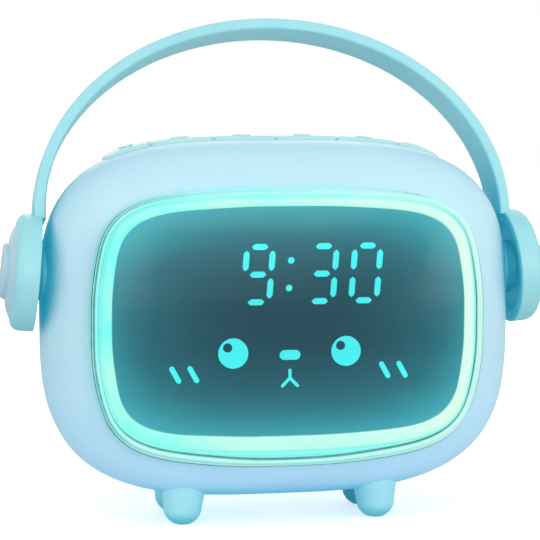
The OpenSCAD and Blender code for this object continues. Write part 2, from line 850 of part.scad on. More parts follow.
module speaker() {
  y1 = body_back - wall;
  color("#2B2E31") translate([speaker_x, 0, mid_z]) {
    difference() {
      rod_y(speaker_d / 2, y1 - 2, y1);
      rod_y(speaker_d / 2 - speaker_rim, y1 - 1, y1 + 1);
    }
    rod_y(speaker_d / 2 - 4, y1 - speaker_t, y1 - 2 + eps);
    rod_y(4, y1 - 1 - eps, y1 - 0.3);
  }
}

// Perforated disc snapped into the cover over the speaker
module speaker_grille() {
  r = speaker_d / 2 - 1 - slip;
  color("#AFD6E8") translate([speaker_x, 0, mid_z]) difference() {
    rod_y(r, body_back - grille_t, body_back);
    for (n = [0:3], k = [0:max(0, 6 * n - 1)]) {
      a = n == 0 ? 0 : 60 * k / n;
      translate([3 * n * cos(a), 0, 3 * n * sin(a)])
        rod_y(0.8, body_back - grille_t - 1, body_back + 1);
    }
  }
}

module power_board() {
  color("#1F6B4A") difference() {
    translate([-power_board[0] / 2, power_board_y, socket_z - power_board[2] / 2]) cube(power_board);
    for (sx = [-1, 1]) translate([sx * power_post_x, 0, socket_z])
      rod_y(screw_r + 0.15, power_board_y - 1, power_board_y + board_t + 1);
  }
}

// Open-ended metal shell of the socket with its contact tongue
module charge_socket() {
  y0 = power_board_y + board_t;
  y1 = body_back - socket_recess;
  color("#C3C7CA") {
    slab(y0, y0 + 1.4) socket_outline(0);
    slab(y0 + 1.4, y1) difference() {
      socket_outline(0);
      socket_outline(-0.35);
    }
    translate([-3.2, y0 + 1.4 - eps, socket_z - 0.35]) cube([6.4, socket_len - 3, 0.7]);
  }
}

// ---------------------------------------------------------------- feet

// Half section of a foot, from its pad up to its stem
module foot_section(top) {
  depth = foot_knee_z + foot_under;
  polygon(concat(
    [[0, -foot_under]],
    [for (a = [90:-11.25:0]) [foot_knee_r * cos(a), foot_knee_z - depth * sin(a)]],
    [[foot_r, top], [0, top]]
  ));
}

module foot(sx, y) {
  top = ground_gap + 9;
  color("#A0DBED") difference() {
    at_foot(sx, y) {
      difference() {
        rotate_extrude() foot_section(top);
        translate([0, 0, top - 1]) cylinder(r = 2 * foot_r, h = 2);
      }
    }
    translate([sx * foot_x, y, -10]) cube([40, 40, 20], center = true);
    body_skin(0.03);
  }
  color("#A0DBED") at_foot(sx, y) translate([0, 0, ground_gap])
    cylinder(r = stem_r, h = stem_top - ground_gap);
}

// ---------------------------------------------------------------- handle

// Puts children in the rest position of the handle
module leaned() {
  translate([0, ear_y, ear_z]) rotate([-band_lean, 0, 0]) children();
}

// Frame of the right ear cup: local z points outward along the splayed axis
module cup_frame() {
  translate([hub_x, 0, 0]) rotate([0, 90 - cup_splay, 0]) children();
}

// Arc of points in a half section
function arc(cx, cy, r, a0, a1, n) =
  [for (k = [0:n]) let (a = a0 + (a1 - a0) * k / n) [cx + r * cos(a), cy + r * sin(a)]];

module cup() {
  dish_r = cup_r - cup_wall;
  rotate_extrude() polygon(concat(
    [[0, dish_depth], [dish_r, dish_depth], [dish_r, 0.3], [dish_r + 0.3, 0], [cup_r - 0.3, 0], [cup_r, 0.3]],
    arc(cup_r - cup_shoulder, cup_t - cup_shoulder, cup_shoulder, 0, 90, 6),
    [[cap_r + slip, cup_t], [cap_r + slip, cap_seat], [0, cap_seat]]
  ));
}

// Headband arch between two ellipses
module band_drawing() {
  a = band_half_w;
  b = band_rise - band_wide_z;
  steps = 60;
  function arch(k, off) =
    let (t = 90 - band_span / 2 + band_span * k / steps) [(a - off) * cos(t), band_wide_z + (b - off) * sin(t)];
  polygon(concat([for (k = [0:steps]) arch(k, 0)], [for (k = [steps:-1:0]) arch(k, band_t)]));
}

module handle_band() {
  color("#A5DEEA") leaned() difference() {
    union() {
      slab(-band_w / 2, band_w / 2) band_drawing();
      for (side = [0, 1]) mirror([side, 0, 0]) {
        cup_frame() cup();
        rod_x(hub_r, hub_in_x, hub_x + dish_depth + 1);
      }
    }
    for (side = [0, 1]) mirror([side, 0, 0]) {
      cup_frame() translate([0, 0, cap_seat]) cylinder(r = cap_r + slip, h = cup_t);
      rod_x(pivot_screw_r, hub_in_x - 1, hub_x - 1);
    }
  }
}

// Two-step cap that closes an ear cup
module ear_cap(side) {
  tier = cap_step_z - cup_t;
  color("#A7D0DF") leaned() mirror([side, 0, 0]) cup_frame() rotate_extrude() polygon(concat(
    [[0, cap_seat], [cap_r, cap_seat]],
    [for (k = [0:8]) let (u = 1 - k / 8)
      [cap_step_r + (cap_r - cap_step_r) * u, cup_t + tier * (1 - u * u)]],
    arc(cap_step_r - 1.2, cap_top - 1.5, 1.2, 0, 80, 5),
    [[cap_step_r * 0.5, cap_top - 0.1], [0, cap_top]]
  ));
}

module friction_rings() {
  color("#2C708E") at_ears() difference() {
    rod_x(boss_r - 0.3, boss_out_x, boss_out_x + friction_t);
    rod_x(hub_r + 0.2, boss_out_x - 1, boss_out_x + friction_t + 1);
  }
}

module pivot_washers() {
  color("#B9BDC1") leaned() for (side = [0, 1]) mirror([side, 0, 0]) difference() {
    rod_x(pivot_washer_r, hub_in_x - pivot_washer_t, hub_in_x);
    rod_x(pivot_screw_r + 0.1, hub_in_x - 2, hub_in_x + 1);
  }
}

module pivot_screws() {
  head_x = hub_in_x - pivot_washer_t;
  color("#A9AFB5") leaned() for (side = [0, 1]) mirror([side, 0, 0]) {
    rod_x(pivot_screw_r, head_x - eps, hub_x - 2);
    rod_x(3, head_x - 1.8, head_x);
  }
}

// ---------------------------------------------------------------- assembly

// Moves the middle of the clock's depth over the origin
module placed() {
  translate([0, (body_front + bezel_proud - body_back) / 2, 0]) children();
}

placed() front_shell();
placed() rear_cover();
placed() cover_screws();
placed() bezel_ring();
placed() glow_ring();
placed() lens_panel();
placed() light_box();
placed() light_bars_lit();
placed() light_bars_off();
placed() face_icons();
placed() display_board();
placed() night_light_board();
placed() night_light_lamps();
placed() board_screws();
placed() standoffs();
placed() main_board();
placed() board_parts();
placed() key_board();
placed() key_switches();
placed() battery_pack();
placed() speaker();
placed() speaker_grille();
placed() power_board();
placed() charge_socket();
placed() foot(-1, -foot_front);  // foot_front_left
placed() foot(1, -foot_front);  // foot_front_right
placed() foot(-1, foot_back);  // foot_rear_left
placed() foot(1, foot_back);  // foot_rear_right
placed() handle_band();
placed() ear_cap(1);  // ear_cap_left
placed() ear_cap(0);  // ear_cap_right
placed() friction_rings();
placed() pivot_washers();
placed() pivot_screws();
placed() key(0);  // key_1
placed() key(1);  // key_2
placed() key(2);  // key_3
placed() key(3);  // key_4
placed() key(4);  // key_5
placed() key(5);  // key_6
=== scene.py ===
"""Kids alarm clock with night light: the finished look of every piece.

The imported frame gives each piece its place. This script gives the visible
pieces their smooth shapes, dresses every piece in its own finish, and sets a
plain studio round the clock. All sizes are in metres.
"""

from __future__ import annotations

import json
import logging
import math
from dataclasses import dataclass, field, replace
from enum import Enum
from typing import Optional, Sequence

import bmesh
import bpy
from mathutils import Matrix, Vector

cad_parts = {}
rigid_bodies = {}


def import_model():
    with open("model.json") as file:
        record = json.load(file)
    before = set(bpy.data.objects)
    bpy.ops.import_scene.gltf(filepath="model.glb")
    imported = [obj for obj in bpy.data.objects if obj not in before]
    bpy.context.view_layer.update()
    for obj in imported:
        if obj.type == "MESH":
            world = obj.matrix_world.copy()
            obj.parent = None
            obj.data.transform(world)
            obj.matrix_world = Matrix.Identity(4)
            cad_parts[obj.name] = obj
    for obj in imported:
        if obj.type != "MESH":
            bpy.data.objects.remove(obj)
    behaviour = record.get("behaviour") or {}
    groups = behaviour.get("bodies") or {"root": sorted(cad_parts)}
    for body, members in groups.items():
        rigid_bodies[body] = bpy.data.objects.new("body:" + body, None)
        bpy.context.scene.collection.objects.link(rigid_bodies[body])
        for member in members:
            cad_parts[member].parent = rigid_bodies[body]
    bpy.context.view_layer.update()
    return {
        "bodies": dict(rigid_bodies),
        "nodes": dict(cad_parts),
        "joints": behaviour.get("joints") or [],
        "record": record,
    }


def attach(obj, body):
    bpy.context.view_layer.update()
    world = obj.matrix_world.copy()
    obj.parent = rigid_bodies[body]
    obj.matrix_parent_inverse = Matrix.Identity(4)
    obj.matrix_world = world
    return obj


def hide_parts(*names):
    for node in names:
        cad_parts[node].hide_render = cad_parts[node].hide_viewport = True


LOG = logging.getLogger("alarm_clock")

Spot = tuple[float, float]
Point = tuple[float, float, float]
Colour = tuple[float, float, float]
Plan = list[Spot]
Ring = list[Point]
Piece = bpy.types.Object
Socket = bpy.types.NodeSocket

MM = 0.001

# Angle in degrees above which an edge of the housing's shells stays sharp
SHELL_SHARP = 28.0

BLACK = (0.0, 0.0, 0.0, 1.0)
WHITE = (1.0, 1.0, 1.0, 1.0)


class Part(Enum):
    """The bodies that move separately."""

    HOUSING = "housing"
    HANDLE = "handle"


class Symbol(Enum):
    """Raised symbols on the keys, left to right."""

    BULB = 0
    MINUS = 1
    PLUS = 2
    CLOCK = 3
    BELL = 4
    MOON = 5


# ------------------------------------------------------------------ outlines


def signed_power(value: float, exponent: float) -> float:
    """Raise the size of a number to a power and keep its sign."""
    return math.copysign(abs(value) ** exponent, value)


@dataclass(frozen=True)
class Outline:
    """A superellipse in the XZ plane, with its own squareness above and below.

    Its sides can run a little straighter into its corners.
    """

    half_w: float
    half_h: float
    mid_z: float
    top: float
    bottom: float
    flat: float = 0.0

    def at(self, angle: float) -> Spot:
        """Find a point of the outline.

        Args:
            angle: Parameter in radians, anticlockwise from +X.

        Returns:
            The point's x and z.
        """
        power = 2 / (self.top if math.sin(angle) >= 0 else self.bottom)
        x, z = signed_power(math.cos(angle), power), signed_power(math.sin(angle), power)
        aim = math.atan2(z, x)
        share = 1 - self.flat * (math.sin(4 * aim) * math.sin(2 * aim)) ** 2
        return self.half_w * x * share, self.mid_z + self.half_h * z * share

    def inset(self, side: float, top: Optional[float] = None, bottom: Optional[float] = None) -> Outline:
        """Move the outline in by a margin at the sides, top and bottom.

        Args:
            side: Margin at the sides.
            top: Margin at the top, or None for that of the sides.
            bottom: Margin at the bottom, or None for that of the sides.

        Returns:
            The smaller outline.
        """
        above = side if top is None else top
        below = side if bottom is None else bottom
        return Outline(
            self.half_w - side, self.half_h - (above + below) / 2, self.mid_z + (below - above) / 2,
            self.top, self.bottom, self.flat,
        )

    def squared(self, top: float, bottom: float) -> Outline:
        """Give the outline another squareness above and below."""
        return Outline(self.half_w, self.half_h, self.mid_z, top, bottom, self.flat)

    def angles(self, count: int) -> list[float]:
        """Spread parameters so that the points lie at even steps along the outline.

        Args:
            count: Number of points round the outline.

        Returns:
            Rising parameters in radians, the first one 0.
        """
        fine = 4096
        points = [self.at(2 * math.pi * k / fine) for k in range(fine + 1)]
        run = [0.0]
        for a, b in zip(points, points[1:]):
            run.append(run[-1] + math.dist(a, b))
        found, k = [], 0
        for i in range(count):
            target = run[-1] * i / count
            while run[k + 1] < target:
                k += 1
            part = (target - run[k]) / max(run[k + 1] - run[k], 1e-12)
            found.append(2 * math.pi * (k + part) / fine)
        return found

    def angle_at_x(self, x: float) -> float:
        """Find the parameter on the upper half where the outline reaches x."""
        return math.acos(signed_power(x / self.half_w, self.top / 2))

    def ring(self, y: float, angles: Sequence[float]) -> Ring:
        """Lay the outline at depth y as a ring of points."""
        return [(p[0], y, p[1]) for p in (self.at(a) for a in angles)]


def mix_points(a: Point, b: Point, part: float) -> Point:
    """Blend two points, 0 giving the first and 1 the second."""
    return tuple(p + (q - p) * part for p, q in zip(a, b))


def mix_rings(a: Ring, b: Ring, part: float) -> Ring:
    """Blend two rings point by point, 0 giving the first and 1 the second."""
    return [mix_points(u, v, part) for u, v in zip(a, b)]


def arc(cx: float, cy: float, radius: float, start: float, end: float, steps: int) -> Plan:
    """Sample an arc of a section.

    Args:
        cx: Centre, first coordinate.
        cy: Centre, second coordinate.
        radius: Radius of the arc.
        start: First angle in degrees.
        end: Last angle in degrees.
        steps: Number of straight steps.

    Returns:
        The points from start to end.
    """
    turn = [math.radians(start + (end - start) * k / steps) for k in range(steps + 1)]
    return [(cx + radius * math.cos(a), cy + radius * math.sin(a)) for a in turn]


def rod(radius: float, start: float, stop: float) -> Plan:
    """Give the section of a plain rod."""
    return [(0.0, start), (radius, start), (radius, stop), (0.0, stop)]


def stadium(half_w: float, half_h: float, x: float, z: float, steps: int = 16) -> Plan:
    """Give an anticlockwise outline with two straight sides and two round ends.

    Args:
        half_w: Half of its width.
        half_h: Half of its height.
        x: Middle, across.
        z: Middle, up.
        steps: Steps round each end.

    Returns:
        The outline's points.
    """
    reach = half_w - half_h
    right = arc(x + reach, z, half_h, -90, 90, steps)
    return right + arc(x - reach, z, half_h, 90, 270, steps)


def rounded_plan(
    half_x: float, half_y: float, radius: float, per_side: int = 12, per_corner: int = 6
) -> Plan:
    """Give an anticlockwise rounded rectangle with points along its sides.

    Args:
        half_x: Half of its width.
        half_y: Half of its depth.
        radius: Corner radius.
        per_side: Steps along each side.
        per_corner: Steps round each corner.

    Returns:
        The outline's points round the origin.
    """
    reach_x, reach_y = half_x - radius, half_y - radius
    corners = ((1, 1, 0), (-1, 1, 90), (-1, -1, 180), (1, -1, 270))
    points = []
    for k, (sx, sy, start) in enumerate(corners):
        bend = arc(sx * reach_x, sy * reach_y, radius, start, start + 90, per_corner)
        nx, ny, turn = corners[(k + 1) % len(corners)]
        aim = arc(nx * reach_x, ny * reach_y, radius, turn, turn, 1)[0]
        points += bend
        points += [
            tuple(a + (b - a) * i / per_side for a, b in zip(bend[-1], aim))
            for i in range(1, per_side)
        ]
    return points


def bar(cx: float, cy: float, w: float, h: float) -> Plan:
    """Give a rounded bar round a middle."""
    return [(cx + x, cy + y) for x, y in rounded_plan(w / 2, h / 2, min(w, h) / 2.2, 8, 5)]


def disc(cx: float, cy: float, radius: float) -> Plan:
    """Give a round dot."""
    steps = 48
    return arc(cx, cy, radius, 0, 360 - 360 / steps, steps - 1)


# ------------------------------------------------------------------ mesh work


def link(name: str, mesh: bpy.types.Mesh) -> Piece:
    """Put a mesh into the scene as an object at the origin.

    Args:
        name: Name of the object.
        mesh: Its mesh.

    Returns:
        The object.
    """
    obj = bpy.data.objects.new(name, mesh)
    bpy.context.scene.collection.objects.link(obj)
    return obj


def smooth(mesh: bpy.types.Mesh, sharp_deg: float = 35.0) -> None:
    """Shade a mesh smooth, with edges sharp above an angle.

    Args:
        mesh: The mesh.
        sharp_deg: The angle in degrees.
    """
    for poly in mesh.polygons:
        poly.use_smooth = True
    mesh.set_sharp_from_angle(angle=math.radians(sharp_deg))


def mesh_object(
    name: str,
    points: Sequence[Point],
    faces: Sequence[Sequence[int]],
    uvs: Optional[Sequence[Sequence[Spot]]] = None,
    sharp_deg: float = 35.0,
) -> Piece:
    """Build an object from points and faces.

    Args:
        name: Name of the object and its mesh.
        points: Vertex positions in metres.
        faces: Vertex numbers of each face, outward side anticlockwise.
        uvs: Texture coordinates for each face's corners, or None.
        sharp_deg: Angle above which an edge stays sharp.

    Returns:
        The new object, linked to the scene.
    """
    mesh = bpy.data.meshes.new(name)
    mesh.from_pydata([tuple(p) for p in points], [], [list(f) for f in faces])
    if uvs is not None:
        layer = mesh.uv_layers.new(name="Along")
        flat = [uv for face in uvs for uv in face]
        for item, uv in zip(layer.data, flat):
            item.uv = uv
    mesh.validate()
    smooth(mesh, sharp_deg)
    return link(name, mesh)


def loft(
    name: str,
    rings: Sequence[Ring],
    hoop: bool = False,
    caps: tuple[bool, bool] = (False, False),
    sharp_deg: float = 35.0,
) -> Piece:
    """Skin a row of rings that all have the same number of points.

    The rings run so that the skin's outward side lies to the right of the way
    from ring to ring, seen along the ring. The UV map holds the way round the
    ring in u and the way across the section in v.

    Args:
        name: Name of the new object.
        rings: Rings of points.
        hoop: Join the last ring to the first.
        caps: Close the first and the last ring with a flat face.
        sharp_deg: Angle above which an edge stays sharp.

    Returns:
        The new object.
    """
    count, size = len(rings), len(rings[0])
    points = [p for ring in rings for p in ring]
    run = [0.0]
    for a, b in zip(rings, rings[1:]):
        run.append(run[-1] + sum(math.dist(p, q) for p, q in zip(a, b)) / size)
    if hoop:
        run.append(run[-1] + sum(math.dist(p, q) for p, q in zip(rings[-1], rings[0])) / size)
    faces, uvs = [], []
    for i in range(count if hoop else count - 1):
        j = (i + 1) % count
        v0, v1 = run[i] / run[-1], run[i + 1] / run[-1]
        for k in range(size):
            m = (k + 1) % size
            faces.append((i * size + k, i * size + m, j * size + m, j * size + k))
            uvs.append(((k / size, v0), ((k + 1) / size, v0), ((k + 1) / size, v1), (k / size, v1)))
    if caps[0]:
        faces.append(tuple(range(size - 1, -1, -1)))
        uvs.append(tuple((k / size, 0.0) for k in range(size - 1, -1, -1)))
    if caps[1]:
        last = (count - 1) * size
        faces.append(tuple(last + k for k in range(size)))
        uvs.append(tuple((k / size, 1.0) for k in range(size)))
    return mesh_object(name, points, faces, uvs, sharp_deg)


def outward(name: str, build: bmesh.types.BMesh, sharp_deg: float) -> Piece:
    """Turn a finished BMesh into an object whose faces point outwards.

    Args:
        name: Name of the new object.
        build: The faces, which are freed.
        sharp_deg: Angle above which an edge stays sharp.

    Returns:
        The new object.
    """
    bmesh.ops.recalc_face_normals(build, faces=build.faces[:])
    mesh = bpy.data.meshes.new(name)
    build.to_mesh(mesh)
    build.free()
    smooth(mesh, sharp_deg)
    return link(name, mesh)


def in_mm(section: Sequence[Spot], lift: float = 0.0) -> Plan:
    """Turn a section in millimetres, radius and height, into metres, raised by a lift."""
    return [(r * MM, lift + h * MM) for r, h in section]


def turned(
    name: str, section: Sequence[Spot], place: Matrix, count: int = 96, sharp_deg: float = 30.0
) -> Piece:
    """Turn a closed section round an axis.

    Args:
        name: Name of the new object.
        section: Radius and height of each point, from the axis round to the
            axis again, or a closed loop that stays off the axis.
        place: Where the turning axis, local +Z, goes.
        count: Number of steps round the axis.
        sharp_deg: Angle above which an edge stays sharp.

    Returns:
        The new object, its faces pointing outwards.
    """
    build = bmesh.new()
    rings = []
    for r, h in section:
        if r < 1e-7:
            rings.append([build.verts.new(place @ Vector((0, 0, h)))])
        else:
            turn = [2 * math.pi * k / count for k in range(count)]
            spots = [Vector((r * math.cos(a), r * math.sin(a), h)) for a in turn]
            rings.append([build.verts.new(place @ spot) for spot in spots])
    pairs = list(zip(rings, rings[1:]))
    if len(rings[0]) > 1 and len(rings[-1]) > 1:
        pairs.append((rings[-1], rings[0]))
    for a, b in pairs:
        for k in range(count):
            m = (k + 1) % count
            corners = [a[k % len(a)], a[m % len(a)], b[m % len(b)], b[k % len(b)]]
            corners = [v for i, v in enumerate(corners) if v not in corners[:i]]
            if len(corners) > 2:
                build.faces.new(corners)
    return outward(name, build, sharp_deg)


def bake(obj: Piece, sharp_deg: Optional[float] = None) -> Piece:
    """Turn an object's modifiers into a plain mesh.

    Args:
        obj: The object with its modifiers.
        sharp_deg: Angle for fresh sharp edges, or None to keep the shading.

    Returns:
        The same object without modifiers.
    """
    bpy.context.view_layer.update()
    graph = bpy.context.evaluated_depsgraph_get()
    mesh = bpy.data.meshes.new_from_object(obj.evaluated_get(graph), depsgraph=graph)
    obj.modifiers.clear()
    old = obj.data
    obj.data = mesh
    mesh.name = obj.name
    if old.users == 0:
        bpy.data.meshes.remove(old)
    if sharp_deg is not None:
        smooth(mesh, sharp_deg)
    return obj


def join(name: str, parts: Sequence[Piece]) -> Piece:
    """Join plain mesh objects into one object.

    Args:
        name: Name of the one object.
        parts: The objects, which are used up.

    Returns:
        The one object.
    """
    build = bmesh.new()
    for part in parts:
        build.from_mesh(part.data)
    mesh = bpy.data.meshes.new(name)
    build.to_mesh(mesh)
    build.free()
    for part in parts:
        old = part.data
        bpy.data.objects.remove(part)
        if old.users == 0:
            bpy.data.meshes.remove(old)
    return link(name, mesh)


def cut(obj: Piece, tools: Sequence[Piece], sharp_deg: float = 30.0) -> Piece:
    """Cut tool solids out of an object and remove the tools.

    Args:
        obj: The object.
        tools: The tool solids.
        sharp_deg: Angle above which an edge stays sharp.

    Returns:
        The same object.
    """
    for tool in tools:
        step = obj.modifiers.new("Cut", "BOOLEAN")
        step.operation = "DIFFERENCE"
        step.solver = "EXACT"
        step.object = tool
    bake(obj, sharp_deg)
    for tool in tools:
        bpy.data.objects.remove(tool)
    return obj


def round_edges(obj: Piece, width: float, segments: int = 3, limit_deg: float = 40.0) -> Piece:
    """Round the sharp edges of a plain mesh.

    Args:
        obj: The object.
        width: Width of the rounding.
        segments: Its steps.
        limit_deg: Angle above which an edge is rounded.

    Returns:
        The same object.
    """
    step = obj.modifiers.new("Round", "BEVEL")
    step.width = width
    step.segments = segments
    step.limit_method = "ANGLE"
    step.angle_limit = math.radians(limit_deg)
    step.harden_normals = False
    return bake(obj, 50.0)


def prism(
    name: str, outline: Sequence[Spot], y0: float, y1: float, sharp_deg: float = 30.0
) -> Piece:
    """Extrude an anticlockwise XZ outline from depth y0 back to depth y1.

    Args:
        name: Name of the new object.
        outline: The outline.
        y0: Depth of its front.
        y1: Depth of its back.
        sharp_deg: Angle above which an edge stays sharp.

    Returns:
        The new object.
    """
    size = len(outline)
    points = [(x, y0, z) for x, z in outline] + [(x, y1, z) for x, z in outline]
    faces: list[tuple[int, ...]] = [tuple(range(size)), tuple(range(2 * size - 1, size - 1, -1))]
    for k in range(size):
        m = (k + 1) % size
        faces.append((m, k, size + k, size + m))
    return mesh_object(name, points, faces, None, sharp_deg)


def turn_out(obj: Piece) -> None:
    """Make the faces of a closed plain mesh point outwards.

    Args:
        obj: The object.
    """
    build = bmesh.new()
    build.from_mesh(obj.data)
    bmesh.ops.recalc_face_normals(build, faces=build.faces[:])
    build.to_mesh(obj.data)
    build.free()


AXIS_Y = Matrix(((1, 0, 0, 0), (0, 0, 1, 0), (0, -1, 0, 0), (0, 0, 0, 1)))
AXIS_X = Matrix(((0, 0, 1, 0), (0, 1, 0, 0), (-1, 0, 0, 0), (0, 0, 0, 1)))


def along_y(x: float, z: float) -> Matrix:
    """Place a turning axis along +Y through (x, 0, z)."""
    return Matrix.Translation((x, 0, z)) @ AXIS_Y


# ------------------------------------------------------------------ finishes


def srgb(red: float, green: float, blue: float) -> tuple[float, float, float, float]:
    """Turn a screen colour into the linear colour a shader takes.

    Args:
        red: Red, 0 to 255.
        green: Green, 0 to 255.
        blue: Blue, 0 to 255.

    Returns:
        The linear colour with full alpha.
    """
    parts = [c / 255 for c in (red, green, blue)]
    lin = [c / 12.92 if c <= 0.04045 else ((c + 0.055) / 1.055) ** 2.4 for c in parts]
    return (lin[0], lin[1], lin[2], 1.0)


class Nodes:
    """A node tree that takes nodes and links."""

    def __init__(self, tree: bpy.types.NodeTree) -> None:
        """Take an empty tree.

        Args:
            tree: The tree to fill.
        """
        self.tree = tree
        self.tree.nodes.clear()

    def fill(self, node: bpy.types.Node, inputs: dict[object, object]) -> None:
        """Link or set inputs of a node.

        Args:
            node: The node.
            inputs: A socket or a plain value for each input, by name or number.
        """
        for key, value in inputs.items():
            if isinstance(value, Socket):
                self.tree.links.new(value, node.inputs[key])
            else:
                node.inputs[key].default_value = value

    def add(self, kind: str, inputs: dict[object, object], **values: object) -> bpy.types.Node:
        """Add a node.

        Args:
            kind: Type of the node.
            inputs: A socket or a plain value for each input, by name or number.
            **values: Properties of the node.

        Returns:
            The node.
        """
        node = self.tree.nodes.new(kind)
        for key, value in values.items():
            setattr(node, key, value)
        self.fill(node, inputs)
        return node

    def run(self, kind: str, inputs: dict[object, object], out: object = 0, **values: object) -> Socket:
        """Add a node as add does and give its output of a name or number."""
        return self.add(kind, inputs, **values).outputs[out]


class Graph(Nodes):
    """Builds the node tree of one material."""

    def __init__(self, name: str) -> None:
        """Start an empty material.

        Args:
            name: Name of the material.
        """
        self.material = bpy.data.materials.new(name)
        self.material.use_nodes = True
        super().__init__(self.material.node_tree)
        self.shader = self.add("ShaderNodeBsdfPrincipled", {})
        self.add("ShaderNodeOutputMaterial", {"Surface": self.shader.outputs["BSDF"]})
        self.coords = self.add("ShaderNodeTexCoord", {})

    def paint(self, **inputs: object) -> None:
        """Link or set the shader's own sockets, spaces in their names written as underscores."""
        self.fill(self.shader, {key.replace("_", " "): value for key, value in inputs.items()})

    def place(self, scale: Point = (1, 1, 1), shift: Point = (0, 0, 0)) -> Socket:
        """Give object coordinates, moved by a shift and then scaled.

        Args:
            scale: Scale along each axis.
            shift: The point that becomes the origin.

        Returns:
            The coordinates.
        """
        moved = tuple(-s * k for s, k in zip(shift, scale))
        inputs = {"Vector": self.coords.outputs["Object"], "Location": moved, "Scale": scale}
        return self.run("ShaderNodeMapping", inputs)

    def along(self) -> Socket:
        """Give the piece's own UV map."""
        return self.run("ShaderNodeUVMap", {}, uv_map="Along")

    def axis(self, vector: Socket, letter: str) -> Socket:
        """Take one coordinate of a vector."""
        return self.run("ShaderNodeSeparateXYZ", {0: vector}, letter)

    def math(self, kind: str, a: object, b: object = 0.0, clamp: bool = False) -> Socket:
        """Combine two numbers or sockets with a math node."""
        return self.run("ShaderNodeMath", {0: a, 1: b}, operation=kind, use_clamp=clamp)

    def noise(self, vector: Socket, scale: float, detail: float = 2.0, rough: float = 0.5) -> Socket:
        """Give a noise value between 0 and 1."""
        inputs = {"Vector": vector, "Scale": scale, "Detail": detail, "Roughness": rough}
        return self.run("ShaderNodeTexNoise", inputs, "Fac")

    def ramp(self, value: Socket, stops: Sequence[tuple[float, Colour]]) -> Socket:
        """Turn a number into a colour.

        Args:
            value: The number, 0 to 1.
            stops: Place and screen colour of each stop, in rising order.

        Returns:
            The colour socket.
        """
        node = self.add("ShaderNodeValToRGB", {"Fac": value})
        items = node.color_ramp.elements
        while len(items) < len(stops):
            items.new(0.5)
        for item, (at, colour) in zip(items, stops):
            item.position = at
            item.color = srgb(*colour)
        return node.outputs["Color"]

    def blend(self, factor: object, a: object, b: object, kind: str = "MIX") -> Socket:
        """Mix two colours by a factor."""
        return self.run("ShaderNodeMix", {"Factor": factor, 6: a, 7: b}, 2, data_type="RGBA", blend_type=kind)

    def spread(self, value: Socket, low: float, high: float, start: float = 0.3, stop: float = 0.7) -> Socket:
        """Stretch a number's range from start..stop to low..high."""
        inputs = {"Value": value, "From Min": start, "From Max": stop, "To Min": low, "To Max": high}
        return self.run("ShaderNodeMapRange", inputs)

    def relief(self, height: Socket, strength: float, depth: float, below: Optional[Socket] = None) -> Socket:
        """Turn a height into a bumped normal.

        Args:
            height: The height, 0 to 1.
            strength: Strength of the bump.
            depth: Its depth in metres.
            below: Another normal that it lies over, or None.

        Returns:
            The normal.
        """
        inputs = {"Strength": strength, "Distance": depth, "Height": height}
        if below is not None:
            inputs["Normal"] = below
        return self.run("ShaderNodeBump", inputs)


# Moulded plastic: how far the painted gap shading looks, where it sets in and how much painted light it holds
GAP_LOOK = 16.0 * MM
HALF_GAP, FULL_GAP = (0.22, 0.72), (0.02, 0.42)
HALF_GAP_PAINTED_LIGHT, FULL_GAP_PAINTED_LIGHT = 0.38, 0.70

# Where painted shade covers the ear bosses of the shell under the ear cups, by x and by distance from the ear
# axis
BOSS_FACE_X = (71.6 * MM, 72.4 * MM)
BOSS_RIM = (10.5 * MM, 13.5 * MM)

# How far a face may turn from the front before its painted front shade fades, as the normal's y
FRONT_FACING = (-0.25, 0.35)

# Height over which the painted light near the bottom fades
PAINTED_BOTTOM_LIGHT_Z = (12.0 * MM, 55.0 * MM)

# Lit acrylic: where the light turns warm, how warm it is at the bottom, where the painted shade lines
# fade at the top, and the way across the bezel where its inner bead begins
WARM_X = (-56.0 * MM, 58.0 * MM)
LOW_Z, LOW_WARMTH = (30.0 * MM, 52.0 * MM), 0.65
HIGH_Z, HIGH_X = (78.0 * MM, 96.0 * MM), (-50.0 * MM, -26.0 * MM)
INNER_BEAD = (0.45, 0.52)


@dataclass(frozen=True)
class Finish:
    """A finish of its own name; each kind says what its node tree holds."""

    name: str

    def build(self) -> bpy.types.Material:
        """Make the material.

        Returns:
            The material.
        """
        g = Graph(self.name)
        self.lay_on(g, g.place())
        return g.material

    def lay_on(self, g: Graph, at: Socket) -> None:
        """Fill the node tree of the material.

        Args:
            g: The material's node tree.
            at: Object coordinates.
        """
        raise NotImplementedError


